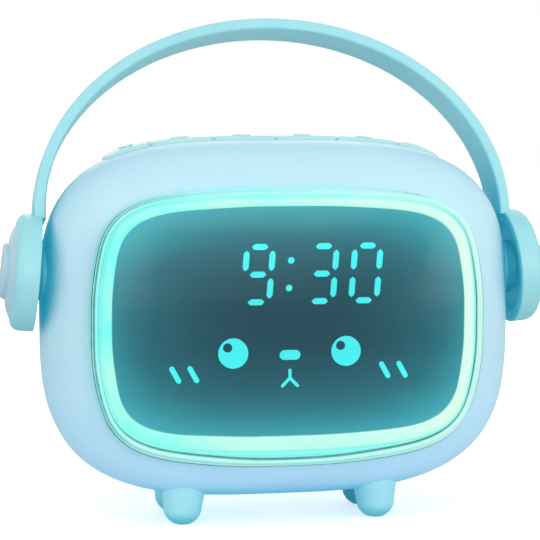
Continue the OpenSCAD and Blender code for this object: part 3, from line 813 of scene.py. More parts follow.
@dataclass(frozen=True)
class MouldedPlastic(Finish):
    """Plain moulded plastic with a fine spark-eroded grain.

    The colour drifts slightly where the melt cooled at different speeds, and
    the sheen is a little patchy, as on a part that has been handled. In narrow
    gaps painted shade turns it a deeper blue and a painted glow of light lifts
    it, and painted light brightens it near the bottom. On the shell's ear
    bosses, under the ear cups, painted shade lies as in a gap. A piece that
    stands in the shade of the clock can carry painted shade over its front.
    """

    colour: Colour
    drift: Colour
    gloss: float = 0.42
    painted_gap_light_and_shade: float = 0.0
    painted_bottom_light: float = 0.0
    painted_bottom_light_tone: Colour = (90, 150, 215)
    boss_axis: Optional[Spot] = None
    half_shade: Colour = (58, 168, 184)
    full_shade: Colour = (10, 120, 144)
    front_shade: float = 0.0

    def gaps(self, g: Graph, at: Socket) -> tuple[Socket, Socket]:
        """Measure how closed in the surface is.

        Args:
            g: The material's node tree.
            at: Object coordinates.

        Returns:
            Two values that rise to 1 in gaps, the first one early, the second late; both also rise to 1 on
            the ear bosses, for painted shade there.
        """
        sky = g.run("ShaderNodeAmbientOcclusion", {"Distance": GAP_LOOK}, "AO", samples=6)
        half, full = (g.spread(sky, 1.0, 0.0, *gap) for gap in (HALF_GAP, FULL_GAP))
        if self.boss_axis is None:
            return half, full
        # Painted shade on the ear bosses, which the ear cups hide
        y = g.math("SUBTRACT", g.axis(at, "Y"), self.boss_axis[0])
        z = g.math("SUBTRACT", g.axis(at, "Z"), self.boss_axis[1])
        reach = g.math("SQRT", g.math("ADD", g.math("MULTIPLY", y, y), g.math("MULTIPLY", z, z)))
        outwards = g.spread(g.math("ABSOLUTE", g.axis(at, "X")), 0.0, 1.0, *BOSS_FACE_X)
        boss = g.math("MULTIPLY", outwards, g.spread(reach, 1.0, 0.0, *BOSS_RIM))
        return g.math("MAXIMUM", half, boss), g.math("MAXIMUM", full, boss)

    def shade(self, g: Graph, at: Socket, tone: Socket) -> Socket:
        """Paint shade and light into gaps, shade onto the front and light near the bottom.

        Args:
            g: The material's node tree.
            at: Object coordinates.
            tone: Colour of the open plastic.

        Returns:
            The shaded colour.
        """
        half, full = self.gaps(g, at)
        half_shade, full_shade = srgb(*self.half_shade), srgb(*self.full_shade)
        # Painted shade: the colour turns a deeper blue in gaps
        tone = g.blend(g.math("MULTIPLY", half, self.painted_gap_light_and_shade), tone, half_shade)
        tone = g.blend(g.math("MULTIPLY", full, self.painted_gap_light_and_shade), tone, full_shade)
        # Painted light: the gaps glow in the shade colours
        gap_light = g.blend(g.math("MULTIPLY", half, HALF_GAP_PAINTED_LIGHT * self.painted_gap_light_and_shade), BLACK, half_shade)
        gap_light = g.blend(g.math("MULTIPLY", full, FULL_GAP_PAINTED_LIGHT * self.painted_gap_light_and_shade), gap_light, full_shade)
        # Painted shade over the faces turned to the front
        if self.front_shade > 0:
            facing = g.axis(g.run("ShaderNodeTexCoord", {}, "Normal"), "Y")
            tone = g.blend(g.spread(facing, self.front_shade, 0.0, *FRONT_FACING), tone, full_shade)
        # Painted light near the bottom, fading upwards
        low = g.spread(g.axis(at, "Z"), self.painted_bottom_light, 0.0, *PAINTED_BOTTOM_LIGHT_Z)
        under_light = g.blend(low, BLACK, srgb(*self.painted_bottom_light_tone))
        g.paint(Emission_Color=g.blend(1.0, gap_light, under_light, "ADD"), Emission_Strength=1.0)
        return tone

    def lay_on(self, g: Graph, at: Socket) -> None:
        """Lay drift, grain and sink marks, and the painted shade and light, over the colour.

        Args:
            g: The material's node tree.
            at: Object coordinates.
        """
        cloud, speck = g.noise(at, 34.0, 3.0, 0.55), g.noise(at, 900.0, 2.0, 0.6)
        tone = g.ramp(g.spread(cloud, 0.0, 1.0), ((0.0, self.colour), (1.0, self.drift)))
        tone = g.blend(g.spread(speck, 0.0, 0.12), tone, srgb(*self.drift))
        if self.painted_gap_light_and_shade > 0:
            tone = self.shade(g, at, tone)
        handled = g.noise(at, 60.0, 4.0, 0.6)
        grain = g.noise(at, 2600.0, 3.0, 0.62)
        sink = g.relief(g.noise(at, 70.0, 1.0, 0.4), 0.25, 0.06 * MM)
        g.paint(
            Base_Color=tone, Roughness=g.spread(handled, self.gloss - 0.04, self.gloss + 0.06),
            Normal=g.relief(grain, 0.35, 0.04 * MM, sink), IOR=1.52,
        )


@dataclass(frozen=True)
class ShadeLine:
    """A painted shade line round a lit ring, at an edge, a bend or the groove of the acrylic.

    Its place, core and fade are shares of the way across the section, from the
    outer edge to the inner one. Its depth differs on the cool and the warm side.
    """

    at: float
    core: float
    fade: float
    cool_depth: float
    warm_depth: float


@dataclass(frozen=True)
class LitAcrylic(Finish):
    """Clear or frosted acrylic that carries the light of the lamps behind it.

    The light turns from cool on the left to warm on the right and at the
    bottom. Painted shade lines run round it and fade along the top.
    """

    cool: Colour
    warm: Colour
    shade: Colour
    lines: tuple[ShadeLine, ...]
    low_from: Spot
    patch: Colour
    patch_amount: float
    glow: float
    body: float
    gloss: float
    coat: float
    inner: Optional[Colour] = None

    def lay_on(self, g: Graph, at: Socket) -> None:
        """Light the ring and draw its painted shade lines.

        Args:
            g: The material's node tree.
            at: Object coordinates.
        """
        across = g.axis(g.along(), "Y")
        x, z = g.axis(at, "X"), g.axis(at, "Z")
        low = g.spread(z, LOW_WARMTH, 0.0, *LOW_Z)
        low = g.math("MULTIPLY", low, g.spread(x, 0.0, 1.0, *self.low_from))
        warmth = g.math("MAXIMUM", g.spread(x, 0.0, 1.0, *WARM_X), low)
        # Along the top the painted shade lines are weaker
        even = g.math("MULTIPLY", g.spread(z, 0.0, 0.8, *HIGH_Z), g.spread(x, 0.15, 1.0, *HIGH_X))
        held = g.math("SUBTRACT", 1.0, even)
        tone = g.blend(warmth, srgb(*self.cool), srgb(*self.warm))
        if self.inner is not None:
            tone = g.blend(g.spread(across, 0.0, 1.0, *INNER_BEAD), tone, srgb(*self.inner))
        # Painted shade lines across the ring
        for line in self.lines:
            off = g.math("ABSOLUTE", g.math("SUBTRACT", across, line.at))
            dark = g.spread(off, 1.0, 0.0, line.core, line.core + line.fade)
            depth = g.spread(warmth, line.cool_depth, line.warm_depth, 0.0, 1.0)
            dark = g.math("MULTIPLY", dark, g.math("MULTIPLY", depth, held))
            tone = g.blend(dark, tone, srgb(*self.shade))
        haze = g.spread(g.noise(g.place((1, 1, 1.6)), 34.0), 0.0, self.patch_amount, 0.46, 0.72)
        tone = g.blend(haze, tone, srgb(*self.patch))
        tone = g.blend(g.spread(g.noise(at, 420.0, 3.0, 0.6), 0.0, 0.10), tone, WHITE)
        g.paint(
            Emission_Color=tone, Emission_Strength=self.glow,
            Base_Color=g.blend(1.0 - self.body, tone, BLACK),
            Roughness=g.spread(g.noise(at, 160.0, 3.0), self.gloss, self.gloss + 0.08),
            Normal=g.relief(g.noise(at, 240.0), 0.2, 0.05 * MM),
            IOR=1.49, Coat_Weight=self.coat, Coat_Roughness=0.03,
        )


@dataclass(frozen=True)
class MirrorLens(Finish):
    """Dark half mirror: deep blue-grey in the middle, teal towards its edge with painted light from the ring.

    Lit symbols behind its middle shine through. Towards its edge it is opaque.
    """

    outline: Outline
    see_through: float = 0.36
    # From middle to rim the tone rises with painted light from the ring
    middle: Colour = (30, 71, 84)
    between: Colour = (44, 111, 124)
    rim: Colour = (70, 176, 188)

    def lay_on(self, g: Graph, at: Socket) -> None:
        """Darken the middle, paint the ring's light onto the edge and make the middle see-through.

        Args:
            g: The material's node tree.
            at: Object coordinates.
        """
        x, z = g.axis(at, "X"), g.axis(at, "Z")
        side = g.math("DIVIDE", g.math("ABSOLUTE", x), self.outline.half_w)
        middle = self.outline.mid_z - 0.5 * MM
        lift = g.math("ABSOLUTE", g.math("DIVIDE", g.math("SUBTRACT", z, middle), self.outline.half_h))
        across = g.math("MULTIPLY", g.math("POWER", side, 3.2), 0.60)
        upright = g.math("MULTIPLY", g.math("POWER", lift, 2.2), 0.84)
        wave = g.spread(g.noise(g.place((0.5, 1, 2.6)), 42.0), -0.025, 0.025)
        edge = g.math("ADD", g.math("ADD", across, upright), wave, clamp=True)
        # Painted light from the ring, stronger towards the edge
        tone = g.ramp(edge, ((0.0, self.middle), (0.4, self.between), (1.0, self.rim)))
        inner = g.math("MULTIPLY", g.spread(side, 1.0, 0.0, 0.70, 0.82), g.spread(lift, 1.0, 0.0, 0.74, 0.86))
        clear = g.math("MULTIPLY", inner, math.sqrt(self.see_through))
        held = g.math("SUBTRACT", 1.0, g.math("MULTIPLY", clear, clear))
        dust = g.spread(g.noise(at, 1500.0, 2.0, 0.7), 0.0, 1.0, 0.62, 0.8)
        g.paint(
            Base_Color=g.blend(0.95, tone, BLACK), Emission_Color=tone,
            Emission_Strength=g.math("DIVIDE", 1.0, held), Alpha=g.math("SUBTRACT", 1.0, clear),
            Roughness=g.spread(g.noise(at, 90.0, 3.0, 0.6), 0.10, 0.16),
            Normal=g.relief(dust, 0.05, 0.02 * MM), Specular_IOR_Level=0.15,
        )


@dataclass(frozen=True)
class LitDiffuser(Finish):
    """Milky plug over a lamp, clouded between two tones."""

    colour: Colour
    cloud: Colour
    strength: float

    def lay_on(self, g: Graph, at: Socket) -> None:
        """Cloud the plug and light it.

        Args:
            g: The material's node tree.
            at: Object coordinates.
        """
        milk = g.spread(g.noise(at, 260.0), 0.0, 1.0)
        tone = g.ramp(milk, ((0.0, self.colour), (1.0, self.cloud)))
        g.paint(
            Base_Color=tone, Emission_Color=tone, Emission_Strength=self.strength,
            Roughness=g.spread(g.noise(at, 800.0), 0.45, 0.6),
            Normal=g.relief(g.noise(at, 3000.0), 0.3, 0.02 * MM),
        )


@dataclass(frozen=True)
class SolderResist(Finish):
    """Circuit board: lacquer over woven glass, with tracks, pads and vias."""

    lacquer: Colour
    track: Colour
    flat: str = "XZ"
    via: Colour = (206, 178, 96)

    def lay_on(self, g: Graph, at: Socket) -> None:
        """Draw tracks both ways over the lacquer and scatter vias.

        Args:
            g: The material's node tree.
            at: Object coordinates.
        """
        swerve = g.spread(g.noise(at, 60.0, 1.0), -2.2 * MM, 2.2 * MM)
        lines = []
        for letter in self.flat:
            bent = g.math("ADD", g.axis(at, letter), swerve)
            wave = g.math("PINGPONG", g.math("MULTIPLY", bent, 1 / MM), 0.9)
            gate = g.math("GREATER_THAN", g.noise(g.place(shift=(0.03, 0, 0.02)), 140.0, 0.0), 0.5)
            lines.append(g.math("MULTIPLY", g.math("LESS_THAN", wave, 0.17), gate))
        copper = g.math("MAXIMUM", lines[0], g.math("MULTIPLY", lines[1], 0.8))
        dots = g.run("ShaderNodeTexVoronoi", {"Vector": at, "Scale": 420.0}, "Distance", feature="F1")
        tone = g.blend(copper, srgb(*self.lacquer), srgb(*self.track))
        g.paint(
            Base_Color=g.blend(g.math("LESS_THAN", dots, 0.16), tone, srgb(*self.via)),
            Roughness=g.spread(g.noise(at, 500.0), 0.25, 0.4), Normal=g.relief(copper, 0.5, 0.04 * MM),
            Coat_Weight=0.4, Coat_Roughness=0.12,
        )


@dataclass(frozen=True)
class PlatedMetal(Finish):
    """Plated steel with fine turning marks and a dull bloom."""

    colour: Colour
    dull: Colour
    gloss: float = 0.3

    def lay_on(self, g: Graph, at: Socket) -> None:
        """Lay the bloom and the turning marks on the metal.

        Args:
            g: The material's node tree.
            at: Object coordinates.
        """
        bloom = g.spread(g.noise(at, 240.0, 4.0, 0.6), 0.0, 1.0)
        marks = g.noise(g.place((900, 9000, 900)), 1.0, 2.0, 0.6)
        g.paint(
            Base_Color=g.ramp(bloom, ((0.0, self.colour), (1.0, self.dull))), Metallic=1.0,
            Roughness=g.spread(bloom, self.gloss, self.gloss + 0.16, 0.0, 1.0),
            Normal=g.relief(marks, 0.2, 0.02 * MM),
        )


@dataclass(frozen=True)
class Rubber(Finish):
    """Matt rubber with a dusty, pored surface."""

    colour: Colour
    dust: Colour

    def lay_on(self, g: Graph, at: Socket) -> None:
        """Lay dust and pores on the rubber.

        Args:
            g: The material's node tree.
            at: Object coordinates.
        """
        bloom = g.spread(g.noise(at, 300.0, 4.0, 0.65), 0.0, 0.7)
        g.paint(
            Base_Color=g.blend(bloom, srgb(*self.colour), srgb(*self.dust)),
            Roughness=g.spread(g.noise(at, 700.0), 0.72, 0.9),
            Normal=g.relief(g.noise(at, 4200.0, 3.0, 0.7), 0.5, 0.06 * MM),
        )


@dataclass(frozen=True)
class ShrinkWrap(Finish):
    """Shiny shrink film round the battery, with creases where it pulled tight."""

    colour: Colour

    def lay_on(self, g: Graph, at: Socket) -> None:
        """Crease the film and paint shade into its folds.

        Args:
            g: The material's node tree.
            at: Object coordinates.
        """
        inputs = {"Vector": g.place((1, 1, 0.35)), "Scale": 260.0}
        crease = g.run("ShaderNodeTexVoronoi", inputs, "Distance", feature="DISTANCE_TO_EDGE")
        # Painted shade in the folds
        fold = g.math("MULTIPLY", g.math("LESS_THAN", crease, 0.05), 0.5)
        shade = [c * 0.82 for c in self.colour]
        g.paint(
            Base_Color=g.blend(fold, srgb(*self.colour), srgb(*shade)),
            Roughness=g.spread(g.noise(at, 200.0), 0.18, 0.3),
            Normal=g.relief(crease, 0.35, 0.1 * MM), Coat_Weight=0.5,
        )


# ------------------------------------------------------------------ sub-assemblies


@dataclass
class Crew:
    """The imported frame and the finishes, shared by all sub-assemblies."""

    frame: dict
    finishes: dict[str, bpy.types.Material] = field(default_factory=dict)

    def finish(self, finish: Finish) -> bpy.types.Material:
        """Build a finish once and give its material.

        Args:
            finish: The finish.

        Returns:
            Its material.
        """
        if finish.name not in self.finishes:
            self.finishes[finish.name] = finish.build()
        return self.finishes[finish.name]

    def dress(self, finish: Finish, *nodes: str) -> None:
        """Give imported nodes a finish.

        Args:
            finish: The finish.
            *nodes: Names of the nodes.
        """
        material = self.finish(finish)
        for node in nodes:
            obj = self.frame["nodes"][node]
            if not obj.material_slots:
                obj.data.materials.append(material)
            for held in obj.material_slots:
                held.material = material
            LOG.info("dressed %s in %s", node, finish.name)

    def install(
        self, piece: Piece, finish: Finish, body: str, nodes: Sequence[str] = ()
    ) -> Piece:
        """Give a made piece its finish and its place on a body.

        Args:
            piece: The piece, its modifiers already baked.
            finish: The finish.
            body: Name of the body that it rides on.
            nodes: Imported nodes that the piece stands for.

        Returns:
            The piece.
        """
        piece.data.materials.clear()
        piece.data.materials.append(self.finish(finish))
        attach(piece, body)
        if nodes:
            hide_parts(*nodes)
        LOG.info("made %s: %d faces on %s", piece.name, len(piece.data.polygons), body)
        return piece


# The blue plastics carry painted shade and painted light in their gaps; the shell and the feet also carry
# painted light near the bottom
SHELL_BLUE = MouldedPlastic(
    "pale_blue_shell", (192, 229, 244), (186, 223, 241), 0.40,
    # painted shade on the ear bosses under the cups
    painted_gap_light_and_shade=0.95, painted_bottom_light=0.26, boss_axis=(-3.0 * MM, 76.8 * MM),
)
HANDLE_BLUE = MouldedPlastic("sea_blue_handle", (159, 222, 231), (151, 215, 226), 0.38, painted_gap_light_and_shade=0.85)
CAP_BLUE = MouldedPlastic("grey_blue_cap", (182, 212, 229), (175, 207, 225), 0.34, painted_gap_light_and_shade=0.4)
KEY_BLUE = MouldedPlastic(
    "mint_blue_key", (186, 225, 224), (178, 220, 222), 0.36,
    painted_gap_light_and_shade=0.6, half_shade=(140, 206, 208), full_shade=(104, 184, 190),
)
FOOT_BLUE = MouldedPlastic(
    "sky_blue_foot", (168, 228, 242), (160, 221, 238), 0.42, painted_gap_light_and_shade=0.8, painted_bottom_light=0.17, painted_bottom_light_tone=(150, 182, 178)
)
# The rear right foot: the foot finish with painted shade over its front
PAINTED_SHADE_FOOT_BLUE = replace(
    FOOT_BLUE, name="deep_blue_foot", painted_bottom_light=0.05, full_shade=(22, 104, 138), front_shade=0.9
)
BLACK_MASK = MouldedPlastic("black_mask", (14, 20, 24), (9, 14, 18), 0.55)
BLACK_PART = MouldedPlastic("black_plastic", (36, 39, 43), (26, 29, 33), 0.45)
CREAM_PART = MouldedPlastic("cream_plastic", (216, 210, 184), (204, 196, 168), 0.5)
BOARD_GREEN = SolderResist("board_green", (24, 92, 62), (52, 130, 92))
BOARD_LEVEL = SolderResist("board_green_level", (24, 92, 62), (52, 130, 92), "XY")
BOARD_WHITE = SolderResist("board_white", (230, 234, 230), (206, 214, 208))
BRIGHT_STEEL = PlatedMetal("bright_zinc", (188, 193, 199), (140, 146, 154))
SOCKET_STEEL = PlatedMetal("socket_nickel", (205, 206, 204), (160, 162, 164), 0.24)
RING_RUBBER = Rubber("blue_grey_rubber", (66, 180, 206), (80, 190, 212))
WRAP_BLUE = ShrinkWrap("battery_wrap_blue", (96, 132, 176))
LAMP_WHITE = LitDiffuser("lamp_phosphor", (250, 246, 214), (232, 236, 200), 0.6)
LIT_CYAN = LitDiffuser("lit_cyan_bar", (72, 244, 240), (68, 240, 238), 1.98)
DARK_BAR = MouldedPlastic("unlit_bar", (20, 30, 34), (14, 22, 26), 0.5)

CLEAR_EDGE = LitAcrylic(
    "clear_bezel", cool=(130, 252, 248), warm=(190, 252, 242), inner=(120, 250, 240), shade=(0, 96, 94),
    # painted shade lines: at the rim, a second line on the cool side, and in the groove
    lines=(
        ShadeLine(0.035, 0.02, 0.03, 1.0, 0.9),
        ShadeLine(0.17, 0.03, 0.05, 0.85, 0.0),
        ShadeLine(0.48, 0.05, 0.05, 0.4, 1.0),
    ),
    low_from=(-60.0 * MM, -46.0 * MM), patch=(214, 250, 250), patch_amount=0.18,
    glow=0.83, body=0.12, gloss=0.10, coat=0.10,
)
GLOW_BAND = LitAcrylic(
    "glow_band", cool=(100, 252, 238), warm=(212, 253, 234), shade=(40, 150, 152),
    # painted shade lines at both edges
    lines=(ShadeLine(0.0, 0.0, 0.09, 0.3, 0.3), ShadeLine(1.0, 0.0, 0.08, 1.0, 1.0)),
    low_from=(-48.0 * MM, -14.0 * MM), patch=(222, 251, 220), patch_amount=0.42,
    glow=0.78, body=0.22, gloss=0.28, coat=0.2,
)

# How far round the front shell's quarter round runs before the window, in degrees
FRONT_SWEEP = 64.0

# Ear boss, radius and distance from the middle, and screw seat, radius and depth from the back, in mm
EAR_BOSS = ((5.05, 66.0), (8.5, 66.0), (8.5, 72.6), (8.42, 72.8), (8.2, 72.9), (5.35, 72.9), (5.05, 72.6))
SCREW_SEAT = ((1.5, -8.0), (4.4, -8.0), (4.4, -2.6), (3.0, -2.6), (3.0, -6.0), (1.5, -6.0))


@dataclass
class Housing:
    """Front shell and rear cover: two rounded shells that meet at a seam."""

    half_w: float = 72.5 * MM
    half_h: float = 54.5 * MM
    mid_z: float = 62.2 * MM
    shift: float = 1.3 * MM
    front: float = 25.5 * MM
    back: float = 25.5 * MM
    front_round: float = 18.7 * MM
    back_round: float = 24.0 * MM
    top_square: float = 3.4
    bottom_square: float = 3.2
    wall: float = 2.4 * MM
    seam: float = 18.0 * MM
    seam_gap: float = 0.25 * MM
    groove: float = 0.3 * MM
    slot_half: float = 52.5 * MM
    slot_front: float = 4.3 * MM
    slot_back: float = 9.3 * MM
    window_half_w: float = 59.7 * MM
    window_half_h: float = 41.6 * MM
    window_drop: float = 1.0 * MM
    window_top: float = 4.1
    window_bottom: float = 3.5
    window_flat: float = 0.02
    lip: float = 24.3 * MM
    lip_inside: float = 21.6 * MM
    ear_y: float = -4.3 * MM
    ear_z: float = 76.8 * MM
    speaker_x: float = 27.0 * MM
    socket_drop: float = 26.0 * MM
    screw_x: float = 45.0 * MM
    screw_z: float = 30.0 * MM
    steps: int = 320

    def outline(self, inset: float = 0.0) -> Outline:
        """Give the housing's outline, moved in by an inset.

        Args:
            inset: How far in.

        Returns:
            The outline.
        """
        return Outline(
            self.half_w - inset, self.half_h - inset, self.mid_z, self.top_square, self.bottom_square
        )

    def window(self, grow: float) -> Outline:
        """Give the outline of the bezel's seat, grown by a play.

        Args:
            grow: The play.

        Returns:
            The outline.
        """
        return Outline(
            self.window_half_w + grow, self.window_half_h + grow, self.mid_z - self.window_drop,
            self.window_top, self.window_bottom, self.window_flat,
        )

    def far(self) -> float:
        """Give the world depth of the cover's flat back."""
        return self.back + self.shift

    def rounded(
        self, base: Sequence[float], turn: float, start: float, radius: float,
        depth: float = 0.0, way: int = 1,
    ) -> Ring:
        """Lay one ring of the quarter round that closes a skin.

        Args:
            base: Angles of the ring's points.
            turn: How far round the ring lies, in radians from the widest plane.
            start: Depth where the round starts.
            radius: Radius of the round.
            depth: How far the skin is moved in.
            way: 1 towards the back, -1 towards the front.

        Returns:
            The ring.
        """
        ring = self.outline(depth + radius * (1 - math.cos(turn)))
        return ring.ring(start + way * radius * math.sin(turn) + self.shift, base)

    def inset_at(self, y: float, depth: float = 0.0) -> float:
        """Find how far the skin lies inside the outline.

        Args:
            y: Depth behind the widest plane.
            depth: How far the skin is moved in, 0 for the outside.

        Returns:
            The inset.
        """
        ahead = -y - (self.front - self.front_round)
        behind = y - (self.back - self.back_round)
        if ahead > 0:
            return self.front_round - math.sqrt(max((self.front_round - depth) ** 2 - ahead**2, 0.0))
        if behind > 0:
            return self.back_round - math.sqrt(max((self.back_round - depth) ** 2 - behind**2, 0.0))
        return depth

    def crown(self, x: float, inset: float) -> float:
        """Find the height of the crown at x for a skin moved in by an inset."""
        share = 1 - (abs(x) / (self.half_w - inset)) ** self.top_square
        return self.mid_z + (self.half_h - inset) * share ** (1 / self.top_square)

    def anchored(self, y: float, inset: float, base: Sequence[float], corner: int) -> Ring:
        """Lay a ring whose points meet the ends of the key slot.

        Args:
            y: Depth behind the widest plane.
            inset: How far the ring lies inside the outline.
            base: Even angles of the outline.
            corner: Number of the point at the right end of the slot.

        Returns:
            The ring.
        """
        shape = self.outline(inset)
        want, have = shape.angle_at_x(self.slot_half), base[corner]
        found = []
        for a in base:
            if a <= have:
                found.append(a * want / have)
            elif a < math.pi - have:
                found.append(want + (a - have) * (math.pi - 2 * want) / (math.pi - 2 * have))
            elif a < math.pi:
                found.append(math.pi - want + (a - math.pi + have) * want / have)
            else:
                found.append(a)
        return shape.ring(y + self.shift, found)

    def front_skin(self) -> Piece:
        """Make the front shell with its window, key slot and wall.

        Returns:
            A closed shell.
        """
        base = self.outline().angles(self.steps)
        want = self.outline().angle_at_x(self.slot_half)
        corner = min(range(self.steps // 4), key=lambda k: abs(base[k] - want))
        behind, beside = 5, 8
        levels: list[float] = [self.seam - self.seam_gap]
        levels += [self.seam - (self.seam - self.slot_back) * k / behind for k in range(1, behind + 1)]
        slot = self.slot_back + self.slot_front
        levels += [self.slot_back - slot * k / beside for k in range(1, beside + 1)]
        levels.append(-(self.front - self.front_round))
        seam_inset = self.inset_at(self.seam)
        outer = [self.anchored(self.seam, seam_inset + self.groove, base, corner)]
        inner = [self.anchored(self.seam, self.inset_at(self.seam, self.wall), base, corner)]
        for y in levels:
            outer.append(self.anchored(y, self.inset_at(y), base, corner))
            inner.append(self.anchored(y, self.inset_at(y, self.wall), base, corner))
        top, under = 1 + behind, 1 + behind + beside
        for k in range(1, 17):
            turn = math.radians(FRONT_SWEEP / 16 * k)
            y = -(self.front - self.front_round)
            skins = ((outer, self.front_round, 0.0), (inner, self.front_round - self.wall, self.wall))
            for rings, radius, depth in skins:
                rings.append(self.anchored(
                    y - radius * math.sin(turn), depth + radius * (1 - math.cos(turn)), base, corner))
        window = self.window(0.1 * MM)
        lip = window.ring(self.shift - self.lip, base)
        lip_inside = window.ring(self.shift - self.lip_inside, base)
        swell = 0.06 * MM
        outer.append([(x, y - swell, z) for x, y, z in mix_rings(outer[-1], lip, 0.5)])
        inner.append(mix_rings(inner[-1], lip_inside, 0.5))
        outer.append(lip)
        inner.append(lip_inside)
        return self.walled("front_shell_skin", outer, inner, (top, under, corner, self.steps // 2 - corner))

    def walled(
        self, name: str, outer: Sequence[Ring], inner: Sequence[Ring], gap: tuple[int, int, int, int]
    ) -> Piece:
        """Join two skins into a walled shell with a rectangular gap.

        Args:
            name: Name of the shell.
            outer: Rings of the outer skin.
            inner: Rings of the inner skin, one for each outer ring.
            gap: First and last ring and first and last point of the gap.

        Returns:
            The shell.
        """
        build = bmesh.new()
        skins = [[[build.verts.new(p) for p in ring] for ring in rings] for rings in (outer, inner)]
        size, count = len(outer[0]), len(outer)
        r0, r1, k0, k1 = gap
        for skin in skins:
            for i in range(count - 1):
                for k in range(size):
                    if r0 <= i < r1 and k0 <= k < k1:
                        continue
                    m = (k + 1) % size
                    build.faces.new((skin[i][k], skin[i][m], skin[i + 1][m], skin[i + 1][k]))
        rims = [[(i, k) for k in range(size)] + [(i, 0)] for i in (0, count - 1)]
        rims.append(
            [(r0, k) for k in range(k0, k1)] + [(i, k1) for i in range(r0, r1)]
            + [(r1, k) for k in range(k1, k0, -1)] + [(i, k0) for i in range(r1, r0, -1)] + [(r0, k0)]
        )
        for rim in rims:
            for (i, k), (j, m) in zip(rim, rim[1:]):
                build.faces.new((skins[0][i][k], skins[0][j][m], skins[1][j][m], skins[1][i][k]))
        for vert in [v for v in build.verts if not v.link_faces]:
            build.verts.remove(vert)
        return outward(name, build, SHELL_SHARP)

    def cover_skin(self) -> Piece:
        """Make the rear cover as a closed wall with its screw, speaker and socket holes.

        Returns:
            The cover.
        """
        base = self.outline().angles(self.steps)
        start = self.back - self.back_round
        inside = self.back_round - self.wall
        lip = math.asin((self.seam - start) / inside)
        rings = []
        for k in range(13):
            turn = math.pi / 2 + (lip - math.pi / 2) * k / 12
            rings.append(self.rounded(base, turn, start, inside, self.wall))
        edge = self.inset_at(self.seam)
        rings.append(self.outline(edge + self.groove).ring(self.seam + self.shift, base))
        first = math.asin((self.seam + self.seam_gap - start) / self.back_round)
        for k in range(15):
            turn = first + (math.pi / 2 - first) * k / 14
            rings.append(self.rounded(base, turn, start, self.back_round))
        shell = loft("rear_cover_skin", rings, caps=(True, True), sharp_deg=SHELL_SHARP)
        turn_out(shell)
        far, past = self.far(), 5.0 * MM
        tools = []
        for x, z in self.screw_spots():
            tools.append(turned("tool", rod(3.0 * MM, far - 6.0 * MM, far + past), along_y(x, z), 64))
        place = along_y(self.speaker_x, self.mid_z)
        tools.append(turned("tool", rod(13.0 * MM, far - past, far + past), place, 128))
        play = 0.2 * MM
        oval = stadium(4.47 * MM + play, 1.63 * MM + play, 0.0, self.mid_z - self.socket_drop)
        tools.append(prism("tool", oval, far - past, far + past))
        cut(shell, tools, SHELL_SHARP)
        seats = [turned("seat", in_mm(SCREW_SEAT, far), along_y(x, z), 48) for x, z in self.screw_spots()]
        for seat in seats:
            turn_out(seat)
        return join("rear_cover_skin", [shell, *seats])

    def solid(self, grow: float) -> Piece:
        """Make the housing's outer form as one closed solid.

        Args:
            grow: How far the form is grown.

        Returns:
            The solid, used as a cutting tool.
        """
        base = self.outline().angles(self.steps)
        behind, ahead = self.back - self.back_round, self.front - self.front_round
        rings = []
        for k in range(13):
            turn = math.radians(90 - 7.5 * k)
            rings.append(self.rounded(base, turn, behind, self.back_round + grow, -grow))
        for k in range(13):
            turn = math.radians(FRONT_SWEEP * k / 12)
            rings.append(self.rounded(base, turn, -ahead, self.front_round + grow, -grow, -1))
        return loft("form", rings, caps=(True, True))

    def screw_spots(self) -> Plan:
        """List the x and z of the four cover screws."""
        return [(sx * self.screw_x, self.mid_z + sz * self.screw_z) for sx in (-1, 1) for sz in (-1, 1)]

    def make(self, crew: Crew) -> None:
        """Make the shells and put them on the housing body.

        Args:
            crew: The crew that puts pieces in place.
        """
        bosses, bores = [], []
        for side in (-1, 1):
            place = Matrix.Translation((0, self.shift + self.ear_y, self.ear_z))
            place = place @ Matrix.Diagonal((side, 1, 1, 1)) @ AXIS_X
            bosses.append(turned("boss", in_mm(EAR_BOSS), place, 96))
            bores.append(turned("bore", rod(EAR_BOSS[0][0] * MM, 66.0 * MM, 80.0 * MM), place, 96))
        front = join("front_shell_skin", [cut(self.front_skin(), bores, SHELL_SHARP), *bosses])
        crew.install(front, SHELL_BLUE, Part.HOUSING.value, ["front_shell"])
        crew.install(self.cover_skin(), SHELL_BLUE, Part.HOUSING.value, ["rear_cover"])


